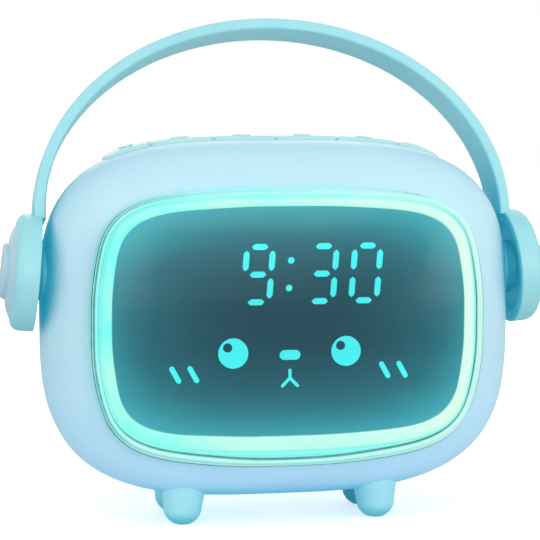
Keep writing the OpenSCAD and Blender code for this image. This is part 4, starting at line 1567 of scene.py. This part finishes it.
@dataclass
class Display:
    """The stack in the window: clear bezel, glowing band, half mirror and lit symbols."""

    housing: Housing

    def outlines(self) -> dict[str, Outline]:
        """Work out the outlines of the stack, from the outside in.

        Returns:
            The outlines by name.
        """
        bezel = self.housing.window(0.0)
        glow = bezel.inset(3.0 * MM, 2.6 * MM, 4.8 * MM).squared(4.25, 3.95)
        lens = glow.inset(3.4 * MM, 2.7 * MM, 4.7 * MM).squared(4.4, 4.4)
        return {"bezel": bezel, "glow": glow, "lens": lens, "hole": lens.inset(2.0 * MM)}

    def band(
        self, name: str, section: Sequence[tuple[Ring, float, float]], sharp_deg: float = 40.0
    ) -> Piece:
        """Skin a closed ring from section stations.

        Args:
            name: Name of the piece.
            section: Ring, depth and way across, 0 to 1, of each station.
            sharp_deg: Angle above which an edge stays sharp.

        Returns:
            The ring-shaped piece, with its UV map.
        """
        rings = [[(p[0], y + self.housing.shift, p[2]) for p in ring] for ring, y, _ in section]
        piece = loft(name, rings, hoop=True, sharp_deg=sharp_deg)
        size, count = len(rings[0]), len(section)
        layer = piece.data.uv_layers["Along"].data
        for poly in piece.data.polygons:
            i, k = divmod(poly.index, size)
            v0, v1 = section[i][2], section[(i + 1) % count][2]
            u0, u1 = k / size, (k + 1) / size
            for loop, uv in zip(poly.loop_indices, ((u0, v0), (u1, v0), (u1, v1), (u0, v1))):
                layer[loop].uv = uv
        turn_out(piece)
        return piece

    def warp(self, part: float, point: Point) -> float:
        """Move the groove, which runs in the middle of the bezel at the bottom only.

        Args:
            part: Way across the bezel in its section, 0 to 1.
            point: The point of the outer ring.

        Returns:
            The way across at that point.
        """
        shape = self.outlines()["bezel"]
        aim = math.degrees(math.atan2(point[0] / shape.half_w, (shape.mid_z - point[2]) / shape.half_h))
        outside, shift, reach_deg = 0.86, 0.35, 27
        groove = outside - shift * math.exp(-((aim / reach_deg) ** 2))
        middle = 0.48
        if part <= middle:
            return part * groove / middle
        return 1 - (1 - part) * (1 - groove) / (1 - middle)

    def bezel_piece(self) -> Piece:
        """Make the clear bezel with its two beads and the groove between them.

        Returns:
            The bezel.
        """
        shapes = self.outlines()
        base = shapes["bezel"].angles(self.housing.steps)
        outer = shapes["bezel"].ring(0.0, base)
        inner = shapes["glow"].inset(-0.1 * MM).ring(0.0, base)
        profile = (
            (0.0, -21.0), (0.0, -27.0), (0.015, -27.35), (0.05, -27.68), (0.11, -27.92), (0.19, -28.05),
            (0.27, -28.1), (0.33, -28.06), (0.38, -27.94), (0.41, -27.7), (0.425, -27.2), (0.45, -26.4),
            (0.48, -26.15), (0.51, -26.4), (0.535, -27.1), (0.56, -27.6), (0.60, -27.84), (0.68, -27.96),
            (0.77, -28.0), (0.86, -27.96), (0.93, -27.86), (0.975, -27.68), (1.0, -27.4), (1.0, -22.1),
        )
        section = []
        for s, y in profile:
            ring = [mix_points(p, q, self.warp(s, p)) for p, q in zip(outer, inner)]
            section.append((ring, y * MM, s))
        return self.band("clear_bezel", section, 60.0)

    def glow_piece(self) -> Piece:
        """Make the frosted light guide with its lens seat and lamp groove.

        Returns:
            The light guide.
        """
        shapes = self.outlines()
        base = shapes["bezel"].angles(self.housing.steps)
        outer = shapes["glow"].ring(0.0, base)
        inner = shapes["lens"].inset(-0.08 * MM).ring(0.0, base)
        hole = shapes["hole"].ring(0.0, base)
        groove = [shapes["glow"].inset(w * MM).ring(0.0, base) for w in (3.6, 1.4)]
        front = (
            (0.0, -22.1), (0.0, -27.45), (0.03, -27.66), (0.09, -27.8), (0.2, -27.87), (0.5, -27.9),
            (0.8, -27.87), (0.91, -27.8), (0.97, -27.68), (1.0, -27.5), (1.0, -26.12),
        )
        section = [(mix_rings(outer, inner, s), y * MM, s) for s, y in front]
        section += [(hole, -26.12 * MM, 1.0), (hole, -22.1 * MM, 1.0), (groove[0], -22.1 * MM, 0.7)]
        section += [(groove[0], -23.2 * MM, 0.6), (groove[1], -23.2 * MM, 0.4), (groove[1], -22.1 * MM, 0.3)]
        return self.band("glow_band_ring", section)

    def lens_piece(self) -> Piece:
        """Make the half mirror with its softened front edge.

        Returns:
            The lens.
        """
        shape = self.outlines()["lens"]
        base = shape.angles(self.housing.steps)
        shift = self.housing.shift
        rings = [
            shape.inset(i * MM).ring(y * MM + shift, base)
            for i, y in ((0.0, -26.12), (0.0, -27.42), (0.04, -27.55), (0.13, -27.65), (0.28, -27.7))
        ]
        return loft("mirror_lens", rings, caps=(True, True), sharp_deg=50.0)

    def make(self, crew: Crew) -> None:
        """Make the rings and the lens and dress what lies behind them.

        Args:
            crew: The crew that puts pieces in place.
        """
        body = Part.HOUSING.value
        crew.install(self.bezel_piece(), CLEAR_EDGE, body, ["bezel_ring"])
        crew.install(self.glow_piece(), GLOW_BAND, body, ["glow_ring"])
        lens = MirrorLens("half_mirror", self.outlines()["lens"])
        crew.install(self.lens_piece(), lens, body, ["lens_panel"])
        crew.dress(BLACK_MASK, "light_box")
        crew.dress(LIT_CYAN, "light_bars_lit", "face_icons")
        crew.dress(DARK_BAR, "light_bars_off")
        crew.dress(BOARD_WHITE, "night_light_board")
        crew.dress(LAMP_WHITE, "night_light_lamps")


@dataclass
class Feet:
    """Four round feet that splay outwards and stand on small flat pads."""

    housing: Housing
    x: float = 30.2 * MM
    front: float = 10.5 * MM
    back: float = 8.5 * MM
    tilt_deg: float = 3.0
    gap: float = 7.7 * MM

    def section(self) -> Plan:
        """Give the half section of a foot, from its pad up to its stem.

        Returns:
            Radius and height of each point.
        """
        points = [(0.0, -0.5 * MM)]
        points += [(5.9 * math.cos(a) * MM, (5.0 - 5.5 * math.sin(a)) * MM) for a in
                   (math.radians(88 - 88 * k / 24) for k in range(25))]
        points += [(6.28 * MM, 7.4 * MM), (7.2 * MM, 13.5 * MM), (7.5 * MM, 15.6 * MM)]
        return points + [(2.6 * MM, 15.7 * MM), (2.6 * MM, 17.0 * MM), (0.0, 17.0 * MM)]

    def foot(self, name: str, side: int, y: float) -> Piece:
        """Make one foot.

        Args:
            name: Name of the foot.
            side: -1 for the left, 1 for the right.
            y: Depth behind the housing's widest plane.

        Returns:
            The foot, flat at the floor; make cuts it to the housing's skin.
        """
        lean = Matrix.Rotation(math.radians(-side * self.tilt_deg), 4, "Y")
        place = Matrix.Translation((side * self.x, y + self.housing.shift, self.gap)) @ lean
        place = place @ Matrix.Translation((0, 0, -self.gap))
        foot = turned(name, self.section(), place, 96, 40.0)
        for vert in foot.data.vertices:
            vert.co.z = max(vert.co.z, 0.0)
        return foot

    def make(self, crew: Crew) -> None:
        """Make the four feet and put them on the housing body.

        Args:
            crew: The crew that puts pieces in place.
        """
        for row, y in (("front", -self.front), ("rear", self.back)):
            for side, hand in ((-1, "left"), (1, "right")):
                node = f"foot_{row}_{hand}"
                foot = cut(self.foot(f"{node}_look", side, y), [self.housing.solid(0.03 * MM)], 40.0)
                # The rear right foot stands in the clock's shade, painted over its front
                finish = PAINTED_SHADE_FOOT_BLUE if (row, side) == ("rear", 1) else FOOT_BLUE
                crew.install(foot, finish, Part.HOUSING.value, [node])


@dataclass
class Keys:
    """The row of six keys along the crown, each with a raised symbol."""

    housing: Housing
    edges: tuple[float, ...] = (-52.5, -38.6, -19.3, 0.0, 19.3, 38.6, 52.5)
    front: float = 4.0 * MM
    back: float = 9.0 * MM
    gap: float = 0.3 * MM
    rise: float = 1.3 * MM
    mark: float = 0.4 * MM
    lip_inset: float = 4.04 * MM
    lip_reach: float = 1.2 * MM
    lip_thick: float = 1.0 * MM
    board_z: float = 100.1 * MM
    switch_reach: float = 5.6 * MM
    low_end: float = 47.5 * MM
    run_out: float = 5.0 * MM

    def middle(self, key: int) -> Spot:
        """Find the middle of a key in plan."""
        return (self.edges[key] + self.edges[key + 1]) / 2 * MM, (self.back - self.front) / 2

    def height(self, x: float) -> float:
        """Find how far a key stands out of the crown at x; the row's ends run out low."""
        part = max(abs(x) - self.low_end, 0.0) / self.run_out
        return self.rise * (1 - 0.55 * min(part, 1.0))

    def cap(self, key: int) -> Piece:
        """Make the visible cap of one key, rounded over at its upper edge.

        Args:
            key: Number of the key, from 0.

        Returns:
            The cap.
        """
        xc, yc = self.middle(key)
        hx = (self.edges[key + 1] - self.edges[key]) / 2 * MM - self.gap
        hy = (self.front + self.back) / 2
        soft, slope, corner = 0.5 * MM, 2.2, 0.7 * MM
        rings = [self.lay(rounded_plan(hx, hy, corner), xc, yc, 0.0, self.lip_inset)]
        for a in (math.radians(15 * k) for k in range(7)):
            inward = soft * (1 - math.cos(a))
            plan = rounded_plan(hx - inward * slope, hy - inward, corner - inward * 0.9)
            rings.append(self.lay(plan, xc, yc, 1.0, soft * (1 - math.sin(a))))
        top = rounded_plan(hx - soft * slope, hy - soft, 0.25 * MM)
        for share in (0.8, 0.55, 0.3, 0.1):
            rings.append(self.lay([(x * share, y * share) for x, y in top], xc, yc, 1.0, 0.0))
        return loft("cap", rings, caps=(True, True), sharp_deg=40.0)

    def lay(
        self, plan: Sequence[Spot], xc: float, yc: float, share: float, inset: float
    ) -> Ring:
        """Lay a plan outline on the crown.

        Args:
            plan: Outline in plan.
            xc: Where its middle lies.
            yc: Where its middle lies.
            share: 1 to follow the raised key, 0 to follow the crown.
            inset: How far it is moved in.

        Returns:
            The ring.
        """
        crown = self.housing.crown
        return [
            (xc + x, yc + y + self.housing.shift, crown(xc + x, inset - share * self.height(xc + x)))
            for x, y in plan
        ]

    def block(self, x0: float, x1: float, y0: float, y1: float, high: float, low: float) -> Piece:
        """Make a plain strip of the crown between two insets.

        Args:
            x0: Left end.
            x1: Right end.
            y0: Front.
            y1: Back.
            high: Inset of its top from the crown.
            low: Inset of its bottom.

        Returns:
            The strip.
        """
        steps = 8
        plan = [(x0 + (x1 - x0) * k / steps, y0) for k in range(steps + 1)]
        plan += [(x1 - (x1 - x0) * k / steps, y1) for k in range(steps + 1)]
        rings = [self.lay(plan, 0.0, 0.0, 0.0, inset) for inset in (low, high)]
        return loft("strip", rings, caps=(True, True))

    def outlines(self, symbol: Symbol) -> list[Plan]:
        """Draw a symbol in plan, in millimetres, its top towards the back.

        Args:
            symbol: The symbol.

        Returns:
            Its outlines.
        """
        long, thick, radius = 5.4, 1.3, 2.7
        dash = bar(0, 0, long, thick)
        glass = arc(0, 0.8, 2.1, -52, 232, 36) + [(-0.9, -1.3), (0.9, -1.3)]
        rim = [
            arc(0, 0, radius, start, start + 182, 28) + arc(0, 0, 2.15, start + 182, start, 28)
            for start in (-1, 179)
        ]
        dome = [(-2.6, -1.5), (2.6, -1.5), (2.1, -0.6), (1.9, 0.6)] + arc(0, 0.9, 1.75, 0, 180, 20)
        return {
            Symbol.BULB: [glass, bar(0, -1.75, 1.9, 0.55), bar(0, -2.5, 1.3, 0.55)],
            Symbol.MINUS: [dash],
            Symbol.PLUS: [dash, bar(0, 0, thick, long)],
            Symbol.CLOCK: [*rim, bar(0, 0.6, 0.5, 1.7), bar(0.5, 0, 1.4, 0.5)],
            Symbol.BELL: [dome + [(-1.9, 0.6), (-2.1, -0.6)], disc(0, -2.05, 0.7), disc(0, 2.75, 0.4)],
            Symbol.MOON: [arc(0, 0, radius, 50, 310, 40) + arc(1.55, 0, 2.1, 256, 104, 30)],
        }[symbol]

    def symbol(self, key: int) -> list[Piece]:
        """Make the raised symbol of one key.

        Args:
            key: Number of the key, from 0.

        Returns:
            The strokes of the symbol.
        """
        xc, yc = self.middle(key)
        made = []
        for plan in self.outlines(Symbol(key)):
            spots = [(x * MM, y * MM) for x, y in plan]
            low = self.lay(spots, xc, yc, 1.0, 0.3 * MM)
            high = self.lay(spots, xc, yc, 1.0, -self.mark)
            made.append(round_edges(loft("mark", [low, high], caps=(True, True)), 0.14 * MM, 2, 60.0))
        return made

    def retainer(self, key: int) -> Piece:
        """Make the lip that keeps a key in its slot.

        Args:
            key: Number of the key, from 0.

        Returns:
            The lip.
        """
        x0, x1 = self.edges[key] * MM + self.gap, self.edges[key + 1] * MM - self.gap
        y0, y1 = -self.front - self.lip_reach, self.back + self.lip_reach
        return self.block(x0, x1, y0, y1, self.lip_inset, self.lip_inset + self.lip_thick)

    def stem(self, key: int) -> Piece:
        """Make the stem that reaches down to the key's switch.

        Args:
            key: Number of the key, from 0.

        Returns:
            The stem.
        """
        xc, yc = self.middle(key)
        plan = rounded_plan(2 * MM, 2 * MM, 0.2 * MM, 3, 2)
        foot, top = self.board_z + self.switch_reach, self.housing.crown(xc, self.lip_inset)
        rings = [[(xc + x, yc + y + self.housing.shift, z) for x, y in plan] for z in (foot, top)]
        return loft("stem", rings, caps=(True, True))

    def make(self, crew: Crew) -> None:
        """Make the six keys and put each on its own body.

        Args:
            crew: The crew that puts pieces in place.
        """
        for key in range(len(Symbol)):
            name = f"key_{key + 1}"
            parts = [self.cap(key), *self.symbol(key), self.retainer(key), self.stem(key)]
            piece = join(f"{name}_look", parts)
            crew.install(piece, KEY_BLUE, name, [name])


class Recipe(Nodes):
    """Builds one Geometry Nodes tree whose inputs are named on the modifier."""

    def __init__(self, name: str, inputs: Sequence[tuple[str, str, object]]) -> None:
        """Start a tree with a geometry input, the named inputs and a geometry output.

        Args:
            name: Name of the tree.
            inputs: Name, socket type and default value of each input.
        """
        super().__init__(bpy.data.node_groups.new(name, "GeometryNodeTree"))
        face = self.tree.interface
        face.new_socket("Geometry", in_out="INPUT", socket_type="NodeSocketGeometry")
        for label, kind, value in inputs:
            socket = face.new_socket(label, in_out="INPUT", socket_type=kind)
            if value is not None:
                socket.default_value = value
        face.new_socket("Geometry", in_out="OUTPUT", socket_type="NodeSocketGeometry")
        self.given = self.add("NodeGroupInput", {}).outputs

    def close(self, geometry: Socket) -> None:
        """End the tree in real geometry that carries the finish.

        Args:
            geometry: The geometry so far.
        """
        real = self.run("GeometryNodeRealizeInstances", {0: geometry})
        paint = self.run("GeometryNodeSetMaterial", {"Geometry": real, "Material": self.given["Finish"]})
        self.add("NodeGroupOutput", {0: paint})

    def apply(self, obj: Piece, values: dict[str, object], sharp_deg: float = 35.0) -> Piece:
        """Run the tree on an object and keep the result as its mesh.

        Args:
            obj: The object that the tree starts from.
            values: Value of each named input.
            sharp_deg: Angle above which an edge stays sharp.

        Returns:
            The same object with plain geometry.
        """
        step = obj.modifiers.new(self.tree.name, "NODES")
        step.node_group = self.tree
        keys = {s.name: s.identifier for s in self.tree.interface.items_tree if s.in_out == "INPUT"}
        for label, value in values.items():
            step[keys[label]] = value
        return bake(obj, sharp_deg)


def arch_recipe() -> Recipe:
    """Build the tree that sweeps a rounded strap along a path.

    Returns:
        The recipe.
    """
    tree = Recipe("Strap along an arch", (
        ("Width", "NodeSocketFloat", 0.015), ("Thickness", "NodeSocketFloat", 0.0035),
        ("Corner", "NodeSocketFloat", 0.001), ("Finish", "NodeSocketMaterial", None),
    ))
    given = tree.given
    path = tree.run("GeometryNodeMeshToCurve", {"Mesh": given["Geometry"]})
    inputs = {"Curve": path, "Normal": (0.0, 1.0, 0.0)}
    path = tree.run("GeometryNodeSetCurveNormal", inputs, mode="FREE")
    inputs = {"Width": given["Width"], "Height": given["Thickness"]}
    shape = tree.run("GeometryNodeCurvePrimitiveQuadrilateral", inputs)
    inputs = {"Curve": shape, "Count": 6, "Radius": given["Corner"]}
    shape = tree.run("GeometryNodeFilletCurve", inputs, mode="POLY")
    inputs = {"Curve": path, "Profile Curve": shape, "Fill Caps": True}
    tree.close(tree.run("GeometryNodeCurveToMesh", inputs))
    return tree


def grille_recipe() -> Recipe:
    """Build the tree that drills rings of small holes through a disc.

    Returns:
        The recipe.
    """
    tree = Recipe("Rings of sound holes", (
        ("Hole radius", "NodeSocketFloat", 0.0008), ("Pitch", "NodeSocketFloat", 0.003),
        ("Centre", "NodeSocketVector", (0.0, 0.0, 0.0)), ("Finish", "NodeSocketMaterial", None),
    ))
    given = tree.given
    spots = tree.add("GeometryNodeJoinGeometry", {})
    middle = tree.run("GeometryNodeMeshLine", {"Count": 1}, mode="OFFSET", count_mode="TOTAL")
    tree.fill(spots, {0: middle})
    for n in (1, 2, 3):
        reach = tree.run("ShaderNodeMath", {0: given["Pitch"], 1: float(n)}, operation="MULTIPLY")
        tree.fill(spots, {0: tree.run("GeometryNodeMeshCircle", {"Vertices": 6 * n, "Radius": reach})})
    inputs = {"Vertices": 24, "Depth": 12.0 * MM, "Radius": given["Hole radius"]}
    drill = tree.run("GeometryNodeMeshCylinder", inputs)
    inputs = {"Points": spots.outputs[0], "Instance": drill}
    drills = tree.run("GeometryNodeInstanceOnPoints", inputs)
    inputs = {"Geometry": drills, "Rotation": (math.pi / 2, 0.0, 0.0), "Translation": given["Centre"]}
    drills = tree.run("GeometryNodeTransform", inputs)
    drills = tree.run("GeometryNodeRealizeInstances", {0: drills})
    inputs = {"Mesh 1": given["Geometry"], "Mesh 2": drills}
    tree.close(tree.run("GeometryNodeMeshBoolean", inputs, operation="DIFFERENCE", solver="EXACT"))
    return tree


def copies_recipe() -> Recipe:
    """Build the tree that puts a copy of one part on every point.

    Returns:
        The recipe.
    """
    tree = Recipe("Copies on points", (
        ("Part", "NodeSocketObject", None), ("Turn seed", "NodeSocketInt", 7),
        ("Finish", "NodeSocketMaterial", None),
    ))
    given = tree.given
    inputs = {"Object": given["Part"]}
    part = tree.run("GeometryNodeObjectInfo", inputs, "Geometry", transform_space="ORIGINAL")
    inputs = {"Min": (0.0, 0.0, 0.0), "Max": (0.0, math.pi / 2, 0.0), "Seed": given["Turn seed"]}
    turn = tree.run("FunctionNodeRandomValue", inputs, "Value", data_type="FLOAT_VECTOR")
    inputs = {"Points": given["Geometry"], "Instance": part, "Rotation": turn}
    tree.close(tree.run("GeometryNodeInstanceOnPoints", inputs))
    return tree


@dataclass
class Handle:
    """The swinging arch with its two ear cups, caps and hubs."""

    housing: Housing
    lean_deg: float = 12.7
    half_w: float = 74.3 * MM
    wide_z: float = 17.3 * MM
    rise: float = 60.6 * MM
    thick: float = 3.5 * MM
    width: float = 15.0 * MM
    span_deg: float = 183.4
    hub_x: float = 73.1 * MM
    splay_deg: float = 5.2

    def pose(self) -> Matrix:
        """Give the frame of the handle in its rest position."""
        at = Matrix.Translation((0, self.housing.ear_y + self.housing.shift, self.housing.ear_z))
        return at @ Matrix.Rotation(math.radians(-self.lean_deg), 4, "X")

    def ear(self, side: int) -> Matrix:
        """Give the frame of an ear cup, local z pointing outwards.

        Args:
            side: 1 for the right ear, -1 for the left.

        Returns:
            The frame.
        """
        mirror = Matrix.Diagonal((side, 1, 1, 1))
        splay = Matrix.Rotation(math.radians(90 - self.splay_deg), 4, "Y")
        return self.pose() @ mirror @ Matrix.Translation((self.hub_x, 0, 0)) @ splay

    def arch(self, crew: Crew) -> Piece:
        """Sweep the strap along its arch.

        Args:
            crew: The crew that makes finishes.

        Returns:
            The strap.
        """
        steps = 160
        path = []
        for k in range(steps + 1):
            turn = math.radians(90 - self.span_deg / 2 + self.span_deg * k / steps)
            x = (self.half_w - self.thick / 2) * math.cos(turn)
            z = self.wide_z + (self.rise - self.thick / 2) * math.sin(turn)
            path.append((x, 0.0, z))
        mesh = bpy.data.meshes.new("strap")
        mesh.from_pydata(path, [(k, k + 1) for k in range(steps)], [])
        strap = link("strap", mesh)
        arch_recipe().apply(strap, {
            "Width": self.width, "Thickness": self.thick, "Corner": 0.9 * MM,
            "Finish": crew.finish(HANDLE_BLUE),
        }, 50.0)
        strap.data.transform(self.pose())
        return strap

    def cup(self, side: int) -> Piece:
        """Turn one ear cup with its dish, rounded shoulder and cap seat.

        Args:
            side: 1 for the right ear, -1 for the left.

        Returns:
            The cup.
        """
        section = [(0.0, 2.5), (13.9, 2.5), (14.3, 2.4), (14.55, 2.1)]
        section += [(14.6, 0.8), (14.72, 0.42), (15.0, 0.26), (17.2, 0.26)]
        section += arc(17.2, 0.76, 0.5, -70, 0, 4) + arc(14.7, 4.6, 3.0, 0, 88, 16)
        section += [(14.66, 7.55), (14.6, 7.4), (14.6, 5.2), (0.0, 5.2)]
        return turned("cup", in_mm(section), self.ear(side), 160, 40.0)

    def hub(self, side: int) -> Piece:
        """Turn one hollow hub that carries the arch.

        Args:
            side: 1 for the right ear, -1 for the left.

        Returns:
            The hub.
        """
        place = self.pose() @ Matrix.Diagonal((side, 1, 1, 1)) @ AXIS_X
        section = [(1.5, 61.8), (4.7, 61.8), (5.0, 62.1), (5.0, 76.4), (1.5, 76.4)]
        return turned("hub", in_mm(section), place, 64)

    def cap(self, name: str, side: int) -> Piece:
        """Turn one two-step cap.

        Args:
            name: Name of the new object.
            side: 1 for the right ear, -1 for the left.

        Returns:
            The cap.
        """
        section = [(0.0, 5.2), (14.3, 5.2), (14.5, 5.4), (14.5, 7.45)]
        steps, inner_r, width, low, crown = 16, 8.75, 5.65, 7.6, 1.8
        for k in range(1, steps + 1):
            u = 1 - k / steps
            section.append((inner_r + width * u, low + crown * (1 - u * u)))
        section += arc(8.75, 9.65, 0.25, -90, -180, 4)[1:] + arc(7.3, 9.9, 1.2, 0, 78, 8)
        section += [(6.6, 11.155), (5.2, 11.235), (3.6, 11.31), (1.8, 11.36), (0.0, 11.38)]
        return turned(name, in_mm(section), self.ear(side), 128, 35.0)

    def make(self, crew: Crew) -> None:
        """Make the arch with its cups and caps and put them on the handle body.

        Args:
            crew: The crew that puts pieces in place.
        """
        body = Part.HANDLE.value
        parts = [self.arch(crew)]
        for side in (-1, 1):
            parts += [self.cup(side), self.hub(side)]
        arch = join("strap_and_cups", parts)
        crew.install(arch, HANDLE_BLUE, body, ["handle_band"])
        for side, hand in ((-1, "left"), (1, "right")):
            cap = self.cap(f"ear_cap_{hand}_look", side)
            crew.install(cap, CAP_BLUE, body, [f"ear_cap_{hand}"])
        crew.dress(BRIGHT_STEEL, "pivot_washers", "pivot_screws")


@dataclass
class Rear:
    """What shows on the back: screws, speaker grille and charging socket."""

    housing: Housing

    def screws(self, crew: Crew) -> Piece:
        """Make the four cover screws with crossed recesses.

        Args:
            crew: The crew that makes finishes.

        Returns:
            The screws.
        """
        section = [(0.0, -17.5), (1.15, -17.3), (1.2, -6.0), (2.7, -6.0), (2.7, -4.7)]
        section += [(2.55, -4.35), (2.2, -4.1), (1.5, -4.0), (0.0, -4.0)]
        part = turned("screw", in_mm(section), AXIS_Y, 48)
        slots = []
        for w, h in ((1.5, 0.3), (0.3, 1.5)):
            outline = in_mm([(-w, -h), (w, -h), (w, h), (-w, h)])
            slots.append(prism("slot", outline, -5.0 * MM, -3.0 * MM))
        cut(part, slots)
        mesh = bpy.data.meshes.new("spots")
        mesh.from_pydata([(x, self.housing.far(), z) for x, z in self.housing.screw_spots()], [], [])
        spots = link("cover_screw_set", mesh)
        copies_recipe().apply(spots, {"Part": part, "Turn seed": 11, "Finish": crew.finish(BRIGHT_STEEL)})
        bpy.data.objects.remove(part)
        return spots

    def grille(self, crew: Crew) -> Piece:
        """Make the perforated disc over the speaker.

        Args:
            crew: The crew that makes finishes.

        Returns:
            The disc.
        """
        x, far, z = self.housing.speaker_x, self.housing.far(), self.housing.mid_z
        section = [(0.0, -2.4), (12.9, -2.4), (12.9, -0.35), (12.8, -0.1), (12.55, 0.0), (0.0, 0.0)]
        plate = turned("speaker_grille_look", in_mm(section, far), along_y(x, z), 128)
        return grille_recipe().apply(plate, {
            "Hole radius": 0.8 * MM, "Pitch": 3.0 * MM, "Centre": (x, far, z),
            "Finish": crew.finish(CAP_BLUE),
        })

    def make(self, crew: Crew) -> None:
        """Make the rear pieces and dress the parts inside.

        Args:
            crew: The crew that puts pieces in place.
        """
        body = Part.HOUSING.value
        crew.install(self.screws(crew), BRIGHT_STEEL, body, ["cover_screws"])
        crew.install(self.grille(crew), CAP_BLUE, body, ["speaker_grille"])
        crew.dress(SOCKET_STEEL, "charge_socket")
        crew.dress(BLACK_PART, "speaker", "key_switches", "board_parts")
        crew.dress(BRIGHT_STEEL, "board_screws")
        crew.dress(CREAM_PART, "standoffs")
        crew.dress(BOARD_GREEN, "display_board", "main_board", "power_board")
        crew.dress(BOARD_LEVEL, "key_board")
        crew.dress(RING_RUBBER, "friction_rings")
        crew.dress(WRAP_BLUE, "battery_pack")


# ------------------------------------------------------------------ studio


@dataclass
class Studio:
    """Plain pale floor, white surround, soft lamps and the camera."""

    camera_at: Point = (-0.1143, -0.5775, 0.1261)
    aim: Point = (-0.0010, 0.0015, 0.0763)
    lens: float = 126.9
    roll_deg: float = 0.05
    lamp_colour: Point = (1.0, 0.83, 0.78)

    def surround(self) -> None:
        """Make the world white for camera, glossy and transmission rays."""
        world = bpy.data.worlds.new("Surround")
        bpy.context.scene.world = world
        world.use_nodes = True
        nodes = Nodes(world.node_tree)
        seen = nodes.add("ShaderNodeLightPath", {}).outputs
        plain = nodes.run(
            "ShaderNodeMath", {0: seen["Is Camera Ray"], 1: seen["Is Glossy Ray"]}, operation="MAXIMUM"
        )
        plain = nodes.run(
            "ShaderNodeMath", {0: plain, 1: seen["Is Transmission Ray"]}, operation="MAXIMUM"
        )
        dim, white = (
            nodes.run("ShaderNodeBackground", {"Color": colour, "Strength": strength})
            for colour, strength in (((0.69, 0.97, 1.0, 1.0), 0.56), (WHITE, 1.0))
        )
        mix = nodes.run("ShaderNodeMixShader", {"Fac": plain, 1: dim, 2: white})
        nodes.add("ShaderNodeOutputWorld", {"Surface": mix})

    def floor(self) -> None:
        """Lay the floor, which keeps the shadows."""
        half = 3.0
        points = [(-half, -half, 0.0), (half, -half, 0.0), (half, half, 0.0), (-half, half, 0.0)]
        floor = mesh_object("floor", points, [(0, 1, 2, 3)])
        g = Graph("floor_white")
        cloud = g.spread(g.noise(g.place(), 12.0, 3.0), 0.0, 1.0)
        inputs = {0: g.place((1.0, 1.0, 0.0))}
        reach = g.run("ShaderNodeVectorMath", inputs, "Value", operation="LENGTH")
        away = g.spread(reach, 0.55, 1.0, 0.12, 0.50)
        seen = g.run("ShaderNodeLightPath", {}, "Is Camera Ray")
        g.paint(
            Base_Color=g.ramp(cloud, ((0.0, (224, 226, 228)), (1.0, (220, 222, 225)))),
            Roughness=0.9, Specular_IOR_Level=0.1, Emission_Color=WHITE,
            Emission_Strength=g.math("MULTIPLY", away, seen),
        )
        floor.data.materials.append(g.material)

    def lamp(self, name: str, at: Point, size: float, power: float) -> None:
        """Hang a soft square lamp that faces the clock.

        Args:
            name: Name of the lamp.
            at: Its place.
            size: Its width.
            power: Its power in watts.
        """
        data = bpy.data.lights.new(name, "AREA")
        data.shape = "SQUARE"
        data.size = size
        data.energy = power
        data.color = self.lamp_colour
        obj = bpy.data.objects.new(name, data)
        obj.location = at
        obj.rotation_euler = (Vector(self.aim) - Vector(at)).to_track_quat("-Z", "Y").to_euler()
        bpy.context.scene.collection.objects.link(obj)

    def make(self) -> None:
        """Set up the surround, the floor, the lamps and the camera."""
        self.surround()
        self.floor()
        self.lamp("key_lamp", (-0.55, -0.85, 1.0), 0.9, 4.0)
        self.lamp("fill_lamp", (0.75, -0.85, 0.9), 0.9, 2.0)
        self.lamp("low_lamp", (0.0, -1.2, 0.12), 0.8, 4.2)
        self.lamp("low_side_lamp", (0.8, -0.9, 0.15), 0.6, 3.6)
        self.lamp("left_lamp", (-1.2, -0.3, 0.45), 0.8, 2.7)
        self.lamp("right_lamp", (1.2, -0.1, 0.5), 0.8, 0.8)
        self.lamp("top_lamp", (0.0, 0.1, 1.25), 1.0, 0.7)
        self.lamp("back_lamp", (0.3, 1.2, 0.6), 0.9, 3.0)
        data = bpy.data.cameras.new("camera")
        data.sensor_fit = "HORIZONTAL"
        data.sensor_width = 36.0
        data.lens = self.lens
        camera = bpy.data.objects.new("camera", data)
        camera.location = self.camera_at
        look = (Vector(self.aim) - Vector(self.camera_at)).to_track_quat("-Z", "Y")
        roll = Matrix.Rotation(math.radians(self.roll_deg), 3, "Z")
        camera.rotation_euler = (look.to_matrix() @ roll).to_euler()
        bpy.context.scene.collection.objects.link(camera)
        bpy.context.scene.camera = camera


@dataclass
class AlarmClock:
    """The whole clock: every sub-assembly with its finishes."""

    crew: Crew
    housing: Housing = field(default_factory=Housing)

    def make(self) -> None:
        """Make and dress every sub-assembly."""
        for group in (
            self.housing, Display(self.housing), Keys(self.housing), Feet(self.housing), Rear(self.housing),
            Handle(self.housing),
        ):
            group.make(self.crew)


def main() -> None:
    """Build the clock on its frame and set the studio."""
    logging.basicConfig(level=logging.INFO, format="%(name)s %(message)s")
    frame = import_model()
    bpy.context.scene.view_settings.view_transform = "Standard"
    AlarmClock(Crew(frame)).make()
    Studio().make()


if __name__ == "__main__":
    main()
